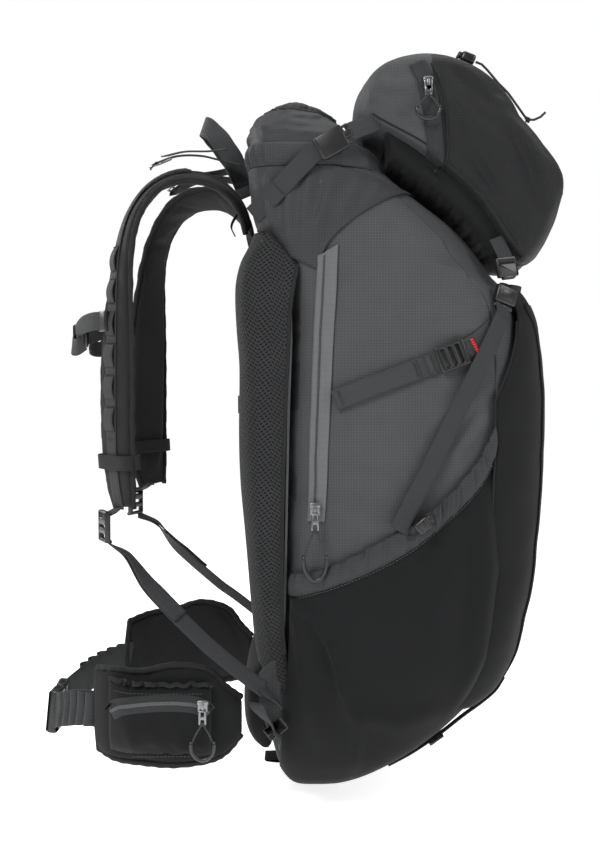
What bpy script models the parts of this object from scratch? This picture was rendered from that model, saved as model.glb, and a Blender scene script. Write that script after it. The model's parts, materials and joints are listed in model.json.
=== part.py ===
# Touring backpack of the avalanche-airbag kind, as an assembly of separate pieces.
# Metres, +Z up. +X is the pack's front, away from the wearer; -Y is the wearer's left.
# Outlines are drawn with the lowest point of the bag at height 0. One empty then moves
# the whole pack so that the haul loop, which it hangs by, is at the origin.

import bpy
import bmesh
import math
from mathutils import Vector

# Overall size of the bag, and the size that the outlines below are drawn at.
bagDepth = 0.262
bagWidth = 0.306
bagHeight = 0.655
drawn = Vector((0.262, 0.306, 0.655))
stretch = Vector((bagDepth / drawn.x, bagWidth / drawn.y, bagHeight / drawn.z))

# Sizes that can be set by themselves.
cloth = 0.003             # a sewn wall of the bag
lying = 0.0008            # gap between pieces that lie on each other
tape = 0.0016             # webbing thickness
webWidth = 0.020          # webbing on the bag and the lower straps
narrowWidth = 0.010       # tool straps
padWidth = 0.064          # shoulder pad
padThick = 0.013
wingThick = 0.016         # hip belt pad
drawnWing = 0.016         # the pad that the pocket was drawn on
beltWidth = 0.038         # hip belt webbing
buckleThick = 0.008
ringWidth = 0.030         # puller loops
ringHeights = {"side": 0.070, "hip": 0.052, "lid": 0.036}
ringWire = 0.0032
lockSize = Vector((0.013, 0.010, 0.017))
lockWall = 0.0022
lockDepth = 0.008         # depth of the hole that the lock's button runs in
lockPlay = 0.0005
lockTravel = 0.003
cordWidth = 0.0025
elasticWidth = 0.003

# Bag in level cuts: height, back, front, half width.
bagLevels = [
    (0.000, 0.000, 0.030, 0.060),
    (0.012, -0.013, 0.065, 0.098),
    (0.030, -0.023, 0.105, 0.116),
    (0.060, -0.030, 0.150, 0.130),
    (0.100, -0.029, 0.192, 0.140),
    (0.150, -0.022, 0.219, 0.147),
    (0.200, -0.019, 0.232, 0.151),
    (0.300, -0.017, 0.243, 0.153),
    (0.400, -0.015, 0.246, 0.153),
    (0.480, -0.012, 0.241, 0.150),
    (0.530, -0.013, 0.225, 0.146),
    (0.548, -0.016, 0.207, 0.144),
    (0.585, -0.034, 0.178, 0.139),
    (0.605, -0.045, 0.158, 0.135),
    (0.630, -0.051, 0.125, 0.130),
    (0.655, -0.053, 0.095, 0.125),
    (0.690, -0.055, 0.070, 0.121),
]
backPower = 6.0
frontPower = 3.2
frontSeam = math.radians(66)
backSeam = math.radians(135)
seamGap = math.radians(0.5)
wallLevels = [0.092, 0.13, 0.17, 0.22, 0.30, 0.38, 0.45, 0.50, 0.53, 0.548, 0.57, 0.59, 0.61, 0.632, 0.6545]

# Outer face of the back padding, seen from the side: height, depth position.
paddingFace = [
    (0.150, -0.047), (0.200, -0.0525), (0.288, -0.0595), (0.364, -0.0635), (0.450, -0.0635),
    (0.493, -0.0665), (0.535, -0.0670), (0.560, -0.0610), (0.578, -0.0500),
]

# Lid from the side: the outline of its middle, as depth position and height.
lidOutline = [
    (0.060, 0.703), (0.0555, 0.724), (0.058, 0.746), (0.071, 0.764), (0.092, 0.775), (0.125, 0.780),
    (0.155, 0.775), (0.184, 0.762), (0.211, 0.739), (0.231, 0.712), (0.255, 0.681), (0.275, 0.652),
    (0.279, 0.632), (0.268, 0.602), (0.254, 0.570), (0.243, 0.553), (0.229, 0.553), (0.217, 0.567),
    (0.204, 0.588), (0.179, 0.622), (0.150, 0.648), (0.110, 0.677), (0.080, 0.694),
]
lidCentre = Vector((0.155, 0.0, 0.672))
lidHalf = 0.125
lidSlices = [(-1.0, 0.80), (-0.93, 0.89), (-0.78, 0.955), (-0.45, 0.99), (0.0, 1.0),
             (0.45, 0.99), (0.78, 0.955), (0.93, 0.89), (1.0, 0.80)]

# Colour, roughness and metallic value of each kind of material.
finishes = {
    "ripstop": ((0.062, 0.065, 0.068), 0.62, 0.0),
    "ripstopDark": ((0.034, 0.035, 0.037), 0.60, 0.0),
    "stretch": ((0.016, 0.017, 0.018), 0.90, 0.0),
    "mesh": ((0.014, 0.014, 0.015), 0.92, 0.0),
    "webbing": ((0.045, 0.046, 0.048), 0.75, 0.0),
    "plastic": ((0.020, 0.020, 0.021), 0.45, 0.0),
    "zipTape": ((0.120, 0.122, 0.125), 0.65, 0.0),
    "metal": ((0.160, 0.162, 0.165), 0.35, 1.0),
    "cord": ((0.018, 0.018, 0.019), 0.80, 0.0),
    "sheet": ((0.200, 0.205, 0.210), 0.50, 0.0),
}
sides = {"left": -1.0, "right": 1.0}
places = {}


# ---- placing ----

def at(x, y, z):
    # A drawn place at the bag's real size.
    return Vector((x * stretch.x, y * stretch.y, z * stretch.z))


def mirrored(point, side):
    return Vector((point.x, point.y * side, point.z))


def smooth(rows, t):
    # Smooth curve through rows of (position, value, value, ...).
    last = len(rows) - 1
    i = 0
    while i < last - 1 and t > rows[i + 1][0]:
        i += 1
    a, b = rows[i], rows[i + 1]
    before, after = rows[max(i - 1, 0)], rows[min(i + 2, last)]
    step = b[0] - a[0]
    f = min(max((t - a[0]) / step, 0.0), 1.0)
    values = []
    for k in range(1, len(a)):
        slopeA = (b[k] - before[k]) / (b[0] - before[0]) * step
        slopeB = (after[k] - a[k]) / (after[0] - a[0]) * step
        rise = b[k] - a[k]
        curve = slopeA * f * (1 - f) ** 2 - slopeB * f ** 2 * (1 - f)
        values.append(a[k] + rise * (3 * f * f - 2 * f ** 3) + curve)
    return values


def smoothPath(points, count):
    # The same number of evenly spaced points along a smooth curve through the given ones.
    rows = []
    run = 0.0
    for i, point in enumerate(points):
        if i:
            run += (point - points[i - 1]).length
        rows.append((run, *point))
    return [Vector(smooth(rows, run * i / (count - 1))) for i in range(count)]


def section(z):
    # Middle, half depth and half width of the bag at a height.
    back, front, half = smooth(bagLevels, z / stretch.z)
    return stretch.x * (back + front) / 2, stretch.x * (front - back) / 2, stretch.y * half


def bagPoint(angle, z, out=0.0):
    # A place on the bag's skin; angle 0 is the front and half a turn is the back.
    middle, depth, half = section(z)
    power = frontPower if math.cos(angle) > 0 else backPower
    c = math.copysign(abs(math.cos(angle)) ** (2 / power), math.cos(angle))
    s = math.copysign(abs(math.sin(angle)) ** (2 / power), math.sin(angle))
    return Vector((middle + (depth + out) * c, (half + out) * s, z))


def sideY(x, z, out=0.0):
    # Half width of the bag at a depth position and a height.
    middle, depth, half = section(z)
    share = min(abs(x - middle) / (depth + out), 1.0)
    power = frontPower if x > middle else backPower
    return (half + out) * (1 - share ** power) ** (1 / power)


def faceX(y, z, out, power, way):
    middle, depth, half = section(z)
    share = min(abs(y) / (half + out), 0.999)
    return middle + way * (depth + out) * (1 - share ** power) ** (1 / power)


def backX(y, z, out=0.0):
    return faceX(y, z, out, backPower, -1)


def frontX(y, z, out=0.0):
    return faceX(y, z, out, frontPower, 1)


def onSide(side, x, z, out):
    return Vector((x, side * sideY(x, z, out), z))


def sideNormal(side, x, z):
    step = 0.001
    slopeX = (sideY(x + step, z) - sideY(x - step, z)) / (2 * step)
    slopeZ = (sideY(x, z + step) - sideY(x, z - step)) / (2 * step)
    return Vector((-slopeX, side, -slopeZ)).normalized()


# ---- building ----

def addPlace(name, point, parent=None):
    # An empty on a joint's axis. The pieces of that body hang under it.
    empty = bpy.data.objects.new(name + "_place", None)
    bpy.context.collection.objects.link(empty)
    empty.parent = bpy.data.objects[parent + "_place"] if parent else None
    empty.location = point - places[parent] if parent else point
    places[name] = point if parent else Vector((0, 0, 0))


def finishObject(obj, finish, place):
    colour, roughness, metallic = finishes[finish]
    material = bpy.data.materials.new(obj.name)
    material.use_nodes = True
    shader = material.node_tree.nodes["Principled BSDF"]
    shader.inputs["Base Color"].default_value = (*colour, 1.0)
    shader.inputs["Roughness"].default_value = roughness
    shader.inputs["Metallic"].default_value = metallic
    material.diffuse_color = (*colour, 1.0)
    obj.data.materials.append(material)
    bpy.context.collection.objects.link(obj)
    obj.parent = bpy.data.objects[place + "_place"]


def addMesh(name, points, faces, finish, place):
    offset = places[place]
    mesh = bpy.data.meshes.new(name)
    mesh.from_pydata([tuple(p - offset) for p in points], [], faces)
    work = bmesh.new()
    work.from_mesh(mesh)
    bmesh.ops.recalc_face_normals(work, faces=work.faces)
    work.to_mesh(mesh)
    work.free()
    mesh.shade_smooth()
    mesh.set_sharp_from_angle(angle=math.radians(40))
    finishObject(bpy.data.objects.new(name, mesh), finish, place)


def addSlab(name, outer, inner, finish, place="bag"):
    # A closed sheet between two grids of the same size.
    rows, columns = len(outer), len(outer[0])
    points = [p for row in outer for p in row] + [p for row in inner for p in row]
    back = rows * columns
    faces = []
    for i in range(rows - 1):
        for j in range(columns - 1):
            a = i * columns + j
            quad = (a, a + 1, a + columns + 1, a + columns)
            faces.append(quad)
            faces.append(tuple(back + k for k in reversed(quad)))
    edge = [(0, j) for j in range(columns)] + [(i, columns - 1) for i in range(1, rows)]
    edge += [(rows - 1, j) for j in range(columns - 2, -1, -1)] + [(i, 0) for i in range(rows - 2, 0, -1)]
    for k, (i, j) in enumerate(edge):
        m, n = edge[(k + 1) % len(edge)]
        a, b = i * columns + j, m * columns + n
        faces.append((b, a, back + a, back + b))
    addMesh(name, points, faces, finish, place)


def addLoft(name, rings, finish, place="bag", closed=False):
    # A solid through rings of points, capped at its ends unless it closes on itself.
    size = len(rings[0])
    count = len(rings)
    points = [p for ring in rings for p in ring]
    faces = []
    for i in range(count if closed else count - 1):
        for j in range(size):
            a, b = i * size, (i + 1) % count * size
            k = (j + 1) % size
            faces.append((a + j, a + k, b + k, b + j))
    if not closed:
        faces.append(tuple(range(size)))
        faces.append(tuple((count - 1) * size + j for j in range(size)))
    addMesh(name, points, faces, finish, place)


def addShell(name, outer, inner, finish, place="bag", bottom=False):
    # A hollow between two stacks of rings, open at the top and, without a bottom, at both ends.
    size, count = len(outer[0]), len(outer)
    points = [p for ring in outer for p in ring] + [p for ring in inner for p in ring]
    back = size * count
    faces = []
    for start in (0, back):
        for i in range(count - 1):
            for j in range(size):
                a, k = start + i * size, (j + 1) % size
                faces.append((a + j, a + k, a + size + k, a + size + j))
    for j in range(size):
        k = (j + 1) % size
        a = (count - 1) * size
        faces.append((a + j, a + k, back + a + k, back + a + j))
        if not bottom:
            faces.append((j, k, back + k, back + j))
    if bottom:
        faces.append(tuple(range(size)))
        faces.append(tuple(back + j for j in range(size)))
    addMesh(name, points, faces, finish, place)


flatShape = [(1, 1), (-1, 1), (-1, -1), (1, -1)]
softShape = [(1, 0.3), (0.8, 1), (-0.8, 1), (-1, 0.3), (-1, -0.3), (-0.8, -1), (0.8, -1), (1, -0.3)]


def sweep(path, across, widths, thicks, shape=flatShape):
    # Rings of a band along a path; across points along its width at each place.
    last = len(path) - 1
    rings = []
    for i, centre in enumerate(path):
        ahead = (path[min(i + 1, last)] - path[max(i - 1, 0)]).normalized()
        wide = (across[i] - ahead * across[i].dot(ahead)).normalized()
        up = ahead.cross(wide)
        w = widths[i] / 2
        t = thicks[i] / 2
        rings.append([centre + wide * (u * w) + up * (v * t) for u, v in shape])
    return rings


def addStrap(name, path, across, width, thick, finish="webbing", place="bag", shape=flatShape):
    count = len(path)
    addLoft(name, sweep(path, across, [width] * count, [thick] * count, shape), finish, place)


def surfaceStrap(name, side, outline, out, width, count, buckle=()):
    # Webbing that lies on the side of the bag, with half a buckle on its end if one is given.
    flat = smoothPath([at(x, 0, z) for x, z in outline], count)
    path = [onSide(side, p.x, p.z, out + tape / 2) for p in flat]
    across = []
    for i, p in enumerate(path):
        ahead = path[min(i + 1, count - 1)] - path[max(i - 1, 0)]
        across.append(sideNormal(side, p.x, p.z).cross(ahead))
    widths = [width] * count + [webWidth + 0.004] * len(buckle)
    thicks = [tape] * count + [buckleThick] * len(buckle)
    path += [mirrored(at(*p), side) for p in buckle]
    across += [across[-1]] * len(buckle)
    addLoft(name, sweep(path, across, widths, thicks), "webbing")


def addBlock(name, centre, axes, size, finish, place="bag", socket=None):
    # A box on three axes. A socket is (wall, depth) of a blind hole in its +third face.
    half = size / 2

    def corner(u, v, w):
        return centre + axes[0] * (u * half.x) + axes[1] * (v * half.y) + axes[2] * (w * half.z)

    low = [corner(u, v, -1) for u, v in flatShape]
    high = [corner(u, v, 1) for u, v in flatShape]
    rings = [low, high]
    if socket:
        wall, depth = socket
        shareX, shareY = 1 - wall / half.x, 1 - wall / half.y
        floor = 1 - depth / half.z
        rings.append([corner(u * shareX, v * shareY, 1) for u, v in flatShape])
        rings.append([corner(u * shareX, v * shareY, floor) for u, v in flatShape])
    addLoft(name, rings, finish, place)


def addPuller(name, top, side, finish, place, tall):
    # A puller loop that hangs from its slider: an egg-shaped ring of round wire.
    steps, around = 18, 6
    centre = top + Vector((0, 0, -tall / 2))
    path = []
    for i in range(steps):
        angle = math.tau * i / steps
        spread = math.sin(angle) * ringWidth / 2 * (0.74 - 0.26 * math.cos(angle))
        path.append(centre + Vector((spread, 0, math.cos(angle) * (tall - ringWire) / 2)))
    rings = []
    for i, p in enumerate(path):
        ahead = (path[(i + 1) % steps] - path[i - 1]).normalized()
        out = Vector((0, side, 0))
        flat = ahead.cross(out)
        turns = [math.tau * (k + 0.5) / around for k in range(around)]
        rings.append([p + (out * math.cos(a) + flat * math.sin(a)) * ringWire / 2 for a in turns])
    addLoft(name, rings, finish, place, closed=True)


def addCord(name, points, width, finish, place):
    # A round cord through chosen points.
    curve = bpy.data.curves.new(name, "CURVE")
    curve.dimensions = "3D"
    curve.bevel_depth = width / 2
    curve.bevel_resolution = 2
    curve.use_fill_caps = True
    spline = curve.splines.new("POLY")
    spline.points.add(len(points) - 1)
    for target, p in zip(spline.points, points):
        target.co = (*(p - places[place]), 1.0)
    finishObject(bpy.data.objects.new(name, curve), finish, place)


# ---- bag ----

def wallPanel(name, start, end, columns, finish, side=1.0):
    angles = [start + (end - start) * i / (columns - 1) for i in range(columns)]
    outer, inner = [], []
    for level in wallLevels:
        z = level * stretch.z
        outer.append([mirrored(bagPoint(a, z), side) for a in angles])
        inner.append([mirrored(bagPoint(a, z, -cloth), side) for a in angles])
    addSlab(name, outer, inner, finish)


def makeWalls():
    wallPanel("front_panel", -frontSeam + seamGap, frontSeam - seamGap, 19, "ripstopDark")
    wallPanel("back_panel", backSeam + seamGap, math.tau - backSeam - seamGap, 9, "ripstop")
    for word, side in sides.items():
        wallPanel("side_panel_" + word, frontSeam + seamGap, backSeam - seamGap, 8, "ripstop", side)


def makeBase():
    levels = [0.0, 0.006, 0.014, 0.028, 0.048, 0.070, 0.0915]
    angles = [math.tau * i / 36 for i in range(36)]
    outer, inner = [], []
    for level in levels:
        z = level * stretch.z
        lift = cloth * (1 - level / levels[-1])
        outer.append([bagPoint(a, z) for a in angles])
        inner.append([bagPoint(a, z, -cloth) + Vector((0, 0, lift)) for a in angles])
    addShell("base_panel", outer, inner, "ripstopDark", bottom=True)


def makeRimAndCollar():
    angles = [math.tau * i / 28 for i in range(28)]
    rim = [0.6555, 0.664, 0.672, 0.681]
    outer = [[bagPoint(a, z * stretch.z, 0.002) for a in angles] for z in rim]
    inner = [[bagPoint(a, z * stretch.z, -cloth) for a in angles] for z in rim]
    addShell("rim_band", outer, inner, "ripstopDark")
    # Each ring of the collar: middle, half depth, half width, roundness and the height at its
    # back and front.
    collar = [
        (0.0085, 0.0610, 0.1215, 4.5, 0.6818, 0.6818),
        (0.001, 0.058, 0.112, 3.4, 0.698, 0.695),
        (-0.003, 0.047, 0.094, 2.4, 0.717, 0.711),
        (0.005, 0.031, 0.076, 2.0, 0.735, 0.722),
    ]
    outer, inner = [], []
    for middle, depth, half, power, back, front in collar:
        for rings, wall in ((outer, 0.0), (inner, cloth)):
            ring = []
            for a in angles:
                forward = 0.5 + 0.5 * math.cos(a)
                c = math.copysign(abs(math.cos(a)) ** (2 / power), math.cos(a))
                s = math.copysign(abs(math.sin(a)) ** (2 / power), math.sin(a))
                x = middle * stretch.x + (depth * stretch.x - wall) * c
                y = (half * stretch.y - wall) * s
                z = (back + (front - back) * forward) * stretch.z
                ring.append(Vector((x, y, z)))
            rings.append(ring)
    addShell("collar", outer, inner, "ripstopDark")


# Layers behind the bag's back wall, each given by its distance from the wall.
sheetGap = 0.002
sheetThick = 0.0025
stayGap = sheetGap + sheetThick + lying
stayThick = 0.003
stayWidth = 0.025
paddingGap = stayGap + stayThick + lying
lumbarGap = 0.006
lumbarDepths = [(0.052, 0.014), (0.060, 0.026), (0.078, 0.034), (0.120, 0.034), (0.138, 0.028), (0.148, 0.017)]
frameLevels = [0.165, 0.20, 0.26, 0.33, 0.41, 0.48, 0.52]


def makeBackSystem():
    shares = [-1 + 2 * i / 10 for i in range(11)]
    outer, inner = [], []
    for level in frameLevels:
        z = level * stretch.z
        half = 0.80 * section(z)[2]
        rows = ((outer, sheetGap + sheetThick), (inner, sheetGap))
        for rows, gap in rows:
            rows.append([Vector((backX(s * half, z) - gap, s * half, z)) for s in shares])
    addSlab("frame_sheet", outer, inner, "sheet")

    heights = [level * stretch.z for level in frameLevels]
    path = [Vector((backX(0, z) - stayGap - stayThick / 2, 0, z)) for z in heights]
    addStrap("frame_stay", path, [Vector((0, 1, 0))] * len(path), stayWidth, stayThick, "metal")

    outer, inner = [], []
    for level in [0.151] + frameLevels + [0.540, 0.560, 0.578]:
        z = level * stretch.z
        half = 0.925 * section(z)[2]
        face = smooth(paddingFace, level)[0] * stretch.x
        outerRow, innerRow = [], []
        for s in shares:
            wall = backX(s * half, z) - paddingGap
            middle = min(face, wall - 0.006)
            edge = backX(half, z) - paddingGap - 0.012
            outerRow.append(Vector((middle + (edge - middle) * abs(s) ** 5, s * half, z)))
            innerRow.append(Vector((wall, s * half, z)))
        outer.append(outerRow)
        inner.append(innerRow)
    addSlab("back_pad", outer, inner, "mesh")

    outer, inner = [], []
    for level, depth in lumbarDepths:
        z = level * stretch.z
        half = 0.118 * stretch.y
        wall = [backX(s * half, z) - lumbarGap for s in shares]
        inner.append([Vector((x, s * half, z)) for x, s in zip(wall, shares)])
        face = min(wall) - depth
        outer.append([Vector((face + 0.014 * abs(s) ** 4, s * half, z)) for s in shares])
    addSlab("lumbar_pad", outer, inner, "mesh")


pocketGap = 0.0034        # the front pocket lies this far off the front wall


def frontLimit(z):
    # Where the front pocket ends on the skin; it draws in towards its top.
    share = min(max((z / stretch.z - 0.42) / 0.09, 0.0), 1.0)
    return math.radians(64 - 27 * share)


def makeFrontPocket():
    shares = [-1 + 2 * i / 16 for i in range(17)]
    outer, inner = [], []
    levels = [(0.100, 0.35), (0.112, 0.8), (0.16, 1.0), (0.24, 1.0), (0.33, 1.0),
              (0.42, 1.0), (0.48, 1.0), (0.515, 0.95), (0.532, 0.75), (0.540, 0.35)]
    for level, full in levels:
        z = level * stretch.z
        limit = frontLimit(z)
        outerRow, innerRow = [], []
        for s in shares:
            bulge = pocketGap + 0.003 + 0.010 * full * (1 - abs(s) ** 3)
            outerRow.append(bagPoint(s * limit, z, bulge))
            innerRow.append(bagPoint(s * limit, z, pocketGap))
        outer.append(outerRow)
        inner.append(innerRow)
    addSlab("front_pocket", outer, inner, "stretch")


def pocketTop(x):
    return 0.218 + 0.117 * max(x / 0.195, 0.0) ** 1.85


def hemTop(x):
    return pocketTop(x) + 0.008 + 0.036 * max(x / 0.195, 0.0)


hemThick = 0.007
hemReach = 0.013          # how far the gathered hem stands out from the wall


def makeSidePockets():
    angles = [math.radians(68 + 62 * i / 11) for i in range(12)]
    for word, side in sides.items():
        outer, inner = [], []
        for row in range(9):
            outerRow, innerRow = [], []
            for i, a in enumerate(angles):
                x = bagPoint(a, 0.25 * stretch.z).x / stretch.x
                edge = math.sin(math.pi * i / (len(angles) - 1))
                if row < 7:
                    level = 0.040 + (pocketTop(x) - 0.040) * row / 6
                    out = 0.004 + 0.009 * math.sin(math.pi * row / 6.6) * (0.3 + 0.7 * edge)
                else:
                    level = pocketTop(x) + (hemTop(x) - pocketTop(x)) * (row - 6) / 2
                    out = hemThick
                under = lying + 0.003 * max(0.0, (0.11 - level) / 0.07)
                outerRow.append(mirrored(bagPoint(a, level * stretch.z, under + out), side))
                innerRow.append(mirrored(bagPoint(a, level * stretch.z, under), side))
            outer.append(outerRow)
            inner.append(innerRow)
        addSlab("side_pocket_" + word, outer, inner, "stretch")


def makeFins():
    # Three-cornered wings of cloth that anchor the lower straps to the bag's back corners.
    lines = [((-0.0205, 0.1375), (0.066, 0.158)), ((-0.0275, 0.1420), (0.074, 0.155)),
             ((-0.0345, 0.1465), (0.092, 0.150)), ((-0.0410, 0.1505), (0.112, 0.144))]
    thick = Vector((0.0006, 0.0016, 0))
    for word, side in sides.items():
        outer, inner = [], []
        for (x, y), (low, high) in lines:
            column = [at(x, y, low + (high - low) * i / 2) for i in range(3)]
            outer.append([mirrored(p + thick, side) for p in column])
            inner.append([mirrored(p, side) for p in column])
        addSlab("hip_fin_" + word, outer, inner, "ripstopDark")


# ---- straps on the bag ----

crossing = 0.0040         # the front strap lies this far out, over the compression strap


def makeSideStraps():
    for word, side in sides.items():
        compression = [(0.037, 0.4202), (0.085, 0.439), (0.1398, 0.4601), (0.170, 0.474), (0.192, 0.492)]
        surfaceStrap("compression_strap_" + word, side, compression, 0.0012, webWidth, 9)
        centre = at(0.1495, 0, 0.4642)
        normal = sideNormal(side, centre.x, centre.z)
        along = (at(0.165, 0, 0.471) - at(0.139, 0, 0.460)).normalized()
        across = normal.cross(along).normalized()
        along = across.cross(normal)
        spot = onSide(side, centre.x, centre.z, 0.0012 + tape + 0.0012 + 0.002)
        size = Vector((0.028, webWidth + 0.006, 0.004))
        addFrame("ladder_lock_" + word, spot, (along, across, normal), size)
        front = [(0.103, 0.299), (0.129, 0.354), (0.1535, 0.4081), (0.180, 0.463), (0.1985, 0.505)]
        buckle = [(0.2055, 0.1275, 0.5145), (0.2110, 0.1250, 0.5345)]
        surfaceStrap("front_strap_" + word, side, front, crossing, webWidth * 0.9, 10, buckle)


def addFrame(name, centre, axes, size):
    # A flat plate with two slots for webbing, as strips and bars on a grid.
    bar = size.x / 5
    xs = [-size.x / 2 + bar * i for i in range(6)]
    rim = 0.003
    ys = [-size.y / 2, -size.y / 2 + rim, size.y / 2 - rim, size.y / 2]
    slots = {(1, 1), (3, 1)}
    points, faces = [], []
    for w in (-size.z / 2, size.z / 2):
        for x in xs:
            for y in ys:
                points.append(centre + axes[0] * x + axes[1] * y + axes[2] * w)
    back = len(xs) * len(ys)

    def index(i, j):
        return i * len(ys) + j

    def solid(i, j):
        return 0 <= i < len(xs) - 1 and 0 <= j < len(ys) - 1 and (i, j) not in slots

    for i in range(len(xs) - 1):
        for j in range(len(ys) - 1):
            if not solid(i, j):
                continue
            quad = (index(i, j), index(i + 1, j), index(i + 1, j + 1), index(i, j + 1))
            faces.append(quad)
            faces.append(tuple(back + k for k in reversed(quad)))
            neighbours = ((i, j - 1), (i + 1, j), (i, j + 1), (i - 1, j))
            for k, near in enumerate(neighbours):
                if not solid(*near):
                    a, b = quad[k], quad[(k + 1) % 4]
                    faces.append((b, a, back + a, back + b))
    addMesh(name, points, faces, "plastic", "bag")


def makeToolStraps():
    # Narrow straps from the front pocket's foot, round the front edge and under the base.
    stations = [(0.122, 0.0185), (0.108, 0.0185), (0.096, 0.014), (0.080, 0.008), (0.060, 0.0065),
                (0.040, 0.006), (0.026, 0.005)]
    for word, side in sides.items():
        y = 0.080 * stretch.y
        path = [Vector((frontX(y, z * stretch.z, out), side * y, z * stretch.z)) for z, out in stations]
        widths = [narrowWidth] * len(path)
        thicks = [tape] * len(path)
        addLoft("tool_strap_" + word, sweep(path, [Vector((0, 1, 0))] * len(path), widths, thicks), "webbing")


def makeHaulLoop():
    half = [(-0.0665, 0.040, 0.664), (-0.0755, 0.0405, 0.683), (-0.090, 0.034, 0.703), (-0.103, 0.019, 0.716)]
    points = [at(x, -y, z) for x, y, z in half] + [haulTop] + [at(x, y, z) for x, y, z in reversed(half)]
    path = smoothPath(points, 17)
    addStrap("haul_loop", path, [Vector((0.35, 0, 0.94))] * len(path), 0.022, 0.003)


def makeZip():
    # Zip tape on the left side only.
    side = sides["left"]
    outer, inner = [], []
    for i in range(9):
        z = (0.318 + 0.249 * i / 8) * stretch.z
        x = (0.0150 + 0.010 * i / 8) * stretch.x
        half = 0.009 + 0.0005 * i / 8
        row = [-half, -0.003, 0.003, half]
        outs = [0.0016, 0.0024, 0.0024, 0.0016]
        outer.append([onSide(side, x + dx, z, out) for dx, out in zip(row, outs)])
        inner.append([onSide(side, x + dx, z, lying) for dx in row])
    addSlab("side_zip", outer, inner, "zipTape")


def makePocketLocks():
    for word, side in sides.items():
        centre = at(0.122, 0, 0.296)
        normal = sideNormal(side, centre.x, centre.z)
        along = (at(0.135, 0, 0.3075) - at(0.109, 0, 0.285)).normalized()
        across = normal.cross(along).normalized()
        along = across.cross(normal)
        spot = onSide(side, centre.x, centre.z, hemThick + lying + 0.0005 + lockSize.y / 2)
        barrel, button = "pocket_lock_" + word, "pocket_button_" + word
        axes = (across, normal, along)
        addPlace(barrel, spot, "bag")
        addBlock(barrel, spot, axes, lockSize, "plastic", barrel, socket=(lockWall, lockDepth))
        free = 2 * (lockWall + lockPlay)
        slim = Vector((lockSize.x - free, lockSize.y - free, lockDepth))
        top = spot + along * (lockSize.z / 2 + lockTravel + lockPlay - lockDepth / 2)
        addPlace(button, top, barrel)
        addBlock(button, top, axes, slim, "plastic", button)


# ---- lid ----

def lidRing(slice, scale):
    ring = []
    for x, z in lidOutline:
        p = at(x, 0, z)
        centre = at(*lidCentre)
        ring.append(Vector((centre.x + (p.x - centre.x) * scale, slice * lidHalf * stretch.y,
                            centre.z + (p.z - centre.z) * scale)))
    return ring


def lidScale(y):
    rows = [(s, k) for s, k in lidSlices]
    return smooth(rows, min(max(y / (lidHalf * stretch.y), -1), 1))[0]


def lidPoint(index, y, out):
    # A place over the lid's outline at a width; index counts along the outline's points.
    ring = lidRing(y / (lidHalf * stretch.y), lidScale(y))
    count = len(ring)
    i = int(math.floor(index))
    a, b = ring[i % count], ring[(i + 1) % count]
    p = a.lerp(b, index - i)
    normal = Vector((0, 1, 0)).cross(b - a).normalized()
    if normal.dot(p - at(*lidCentre)) < 0:
        normal = -normal
    return p + normal * out


def makeLid():
    addLoft("lid_pocket", [lidRing(s, k) for s, k in lidSlices], "ripstopDark", "lid")

    side = sides["left"]
    face = side * (lidHalf * stretch.y + lying)
    outer, inner = [], []
    for i in range(6):
        p = at(0.1285 + 0.009 * i / 5, 0, 0.744 - 0.086 * i / 5)
        row = [-0.008, -0.003, 0.003, 0.008]
        outs = [0.001, 0.002, 0.002, 0.001]
        outer.append([Vector((p.x + dx, face + side * out, p.z)) for dx, out in zip(row, outs)])
        inner.append([Vector((p.x + dx, face, p.z)) for dx in row])
    addSlab("lid_zip", outer, inner, "zipTape", "lid")

    # Elastic cord laced to and fro over the lid's front slope.
    lace = []
    for i in range(9):
        y = 0.066 * stretch.y * (1 if i % 2 else -1)
        start = 7.2 + 0.62 * i
        for k in range(5 if i < 8 else 1):
            share = k / 5
            lace.append(lidPoint(start + 0.62 * share, y * (1 - 2 * share), 0.0042))
    addCord("lid_bungee", lace, elasticWidth, "cord", "lid")

    spot = lidPoint(6.55, -0.088 * stretch.y, lockSize.y / 2 + 0.0035)
    ahead = (lidPoint(7.0, -0.088 * stretch.y, 0) - lidPoint(6.2, -0.088 * stretch.y, 0)).normalized()
    side = Vector((0, 1, 0))
    addBlock("lid_lock", spot, (side, ahead.cross(side), ahead), lockSize, "plastic", "lid")

    start = spot + ahead * (lockSize.z / 2 + 0.0004)
    run = [start, start + ahead * 0.008]
    run += [lidPoint(i, -0.088 * stretch.y, 0.0055) for i in (7.75, 8.1, 8.5, 8.9, 9.15)]
    run.append(lidPoint(9.3, -0.091 * stretch.y, 0.014))
    run.append(lidPoint(9.3, -0.094 * stretch.y, 0.024))
    path = smoothPath(run, 16)
    addCord("lid_cord", path, cordWidth, "cord", "lid")


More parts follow.
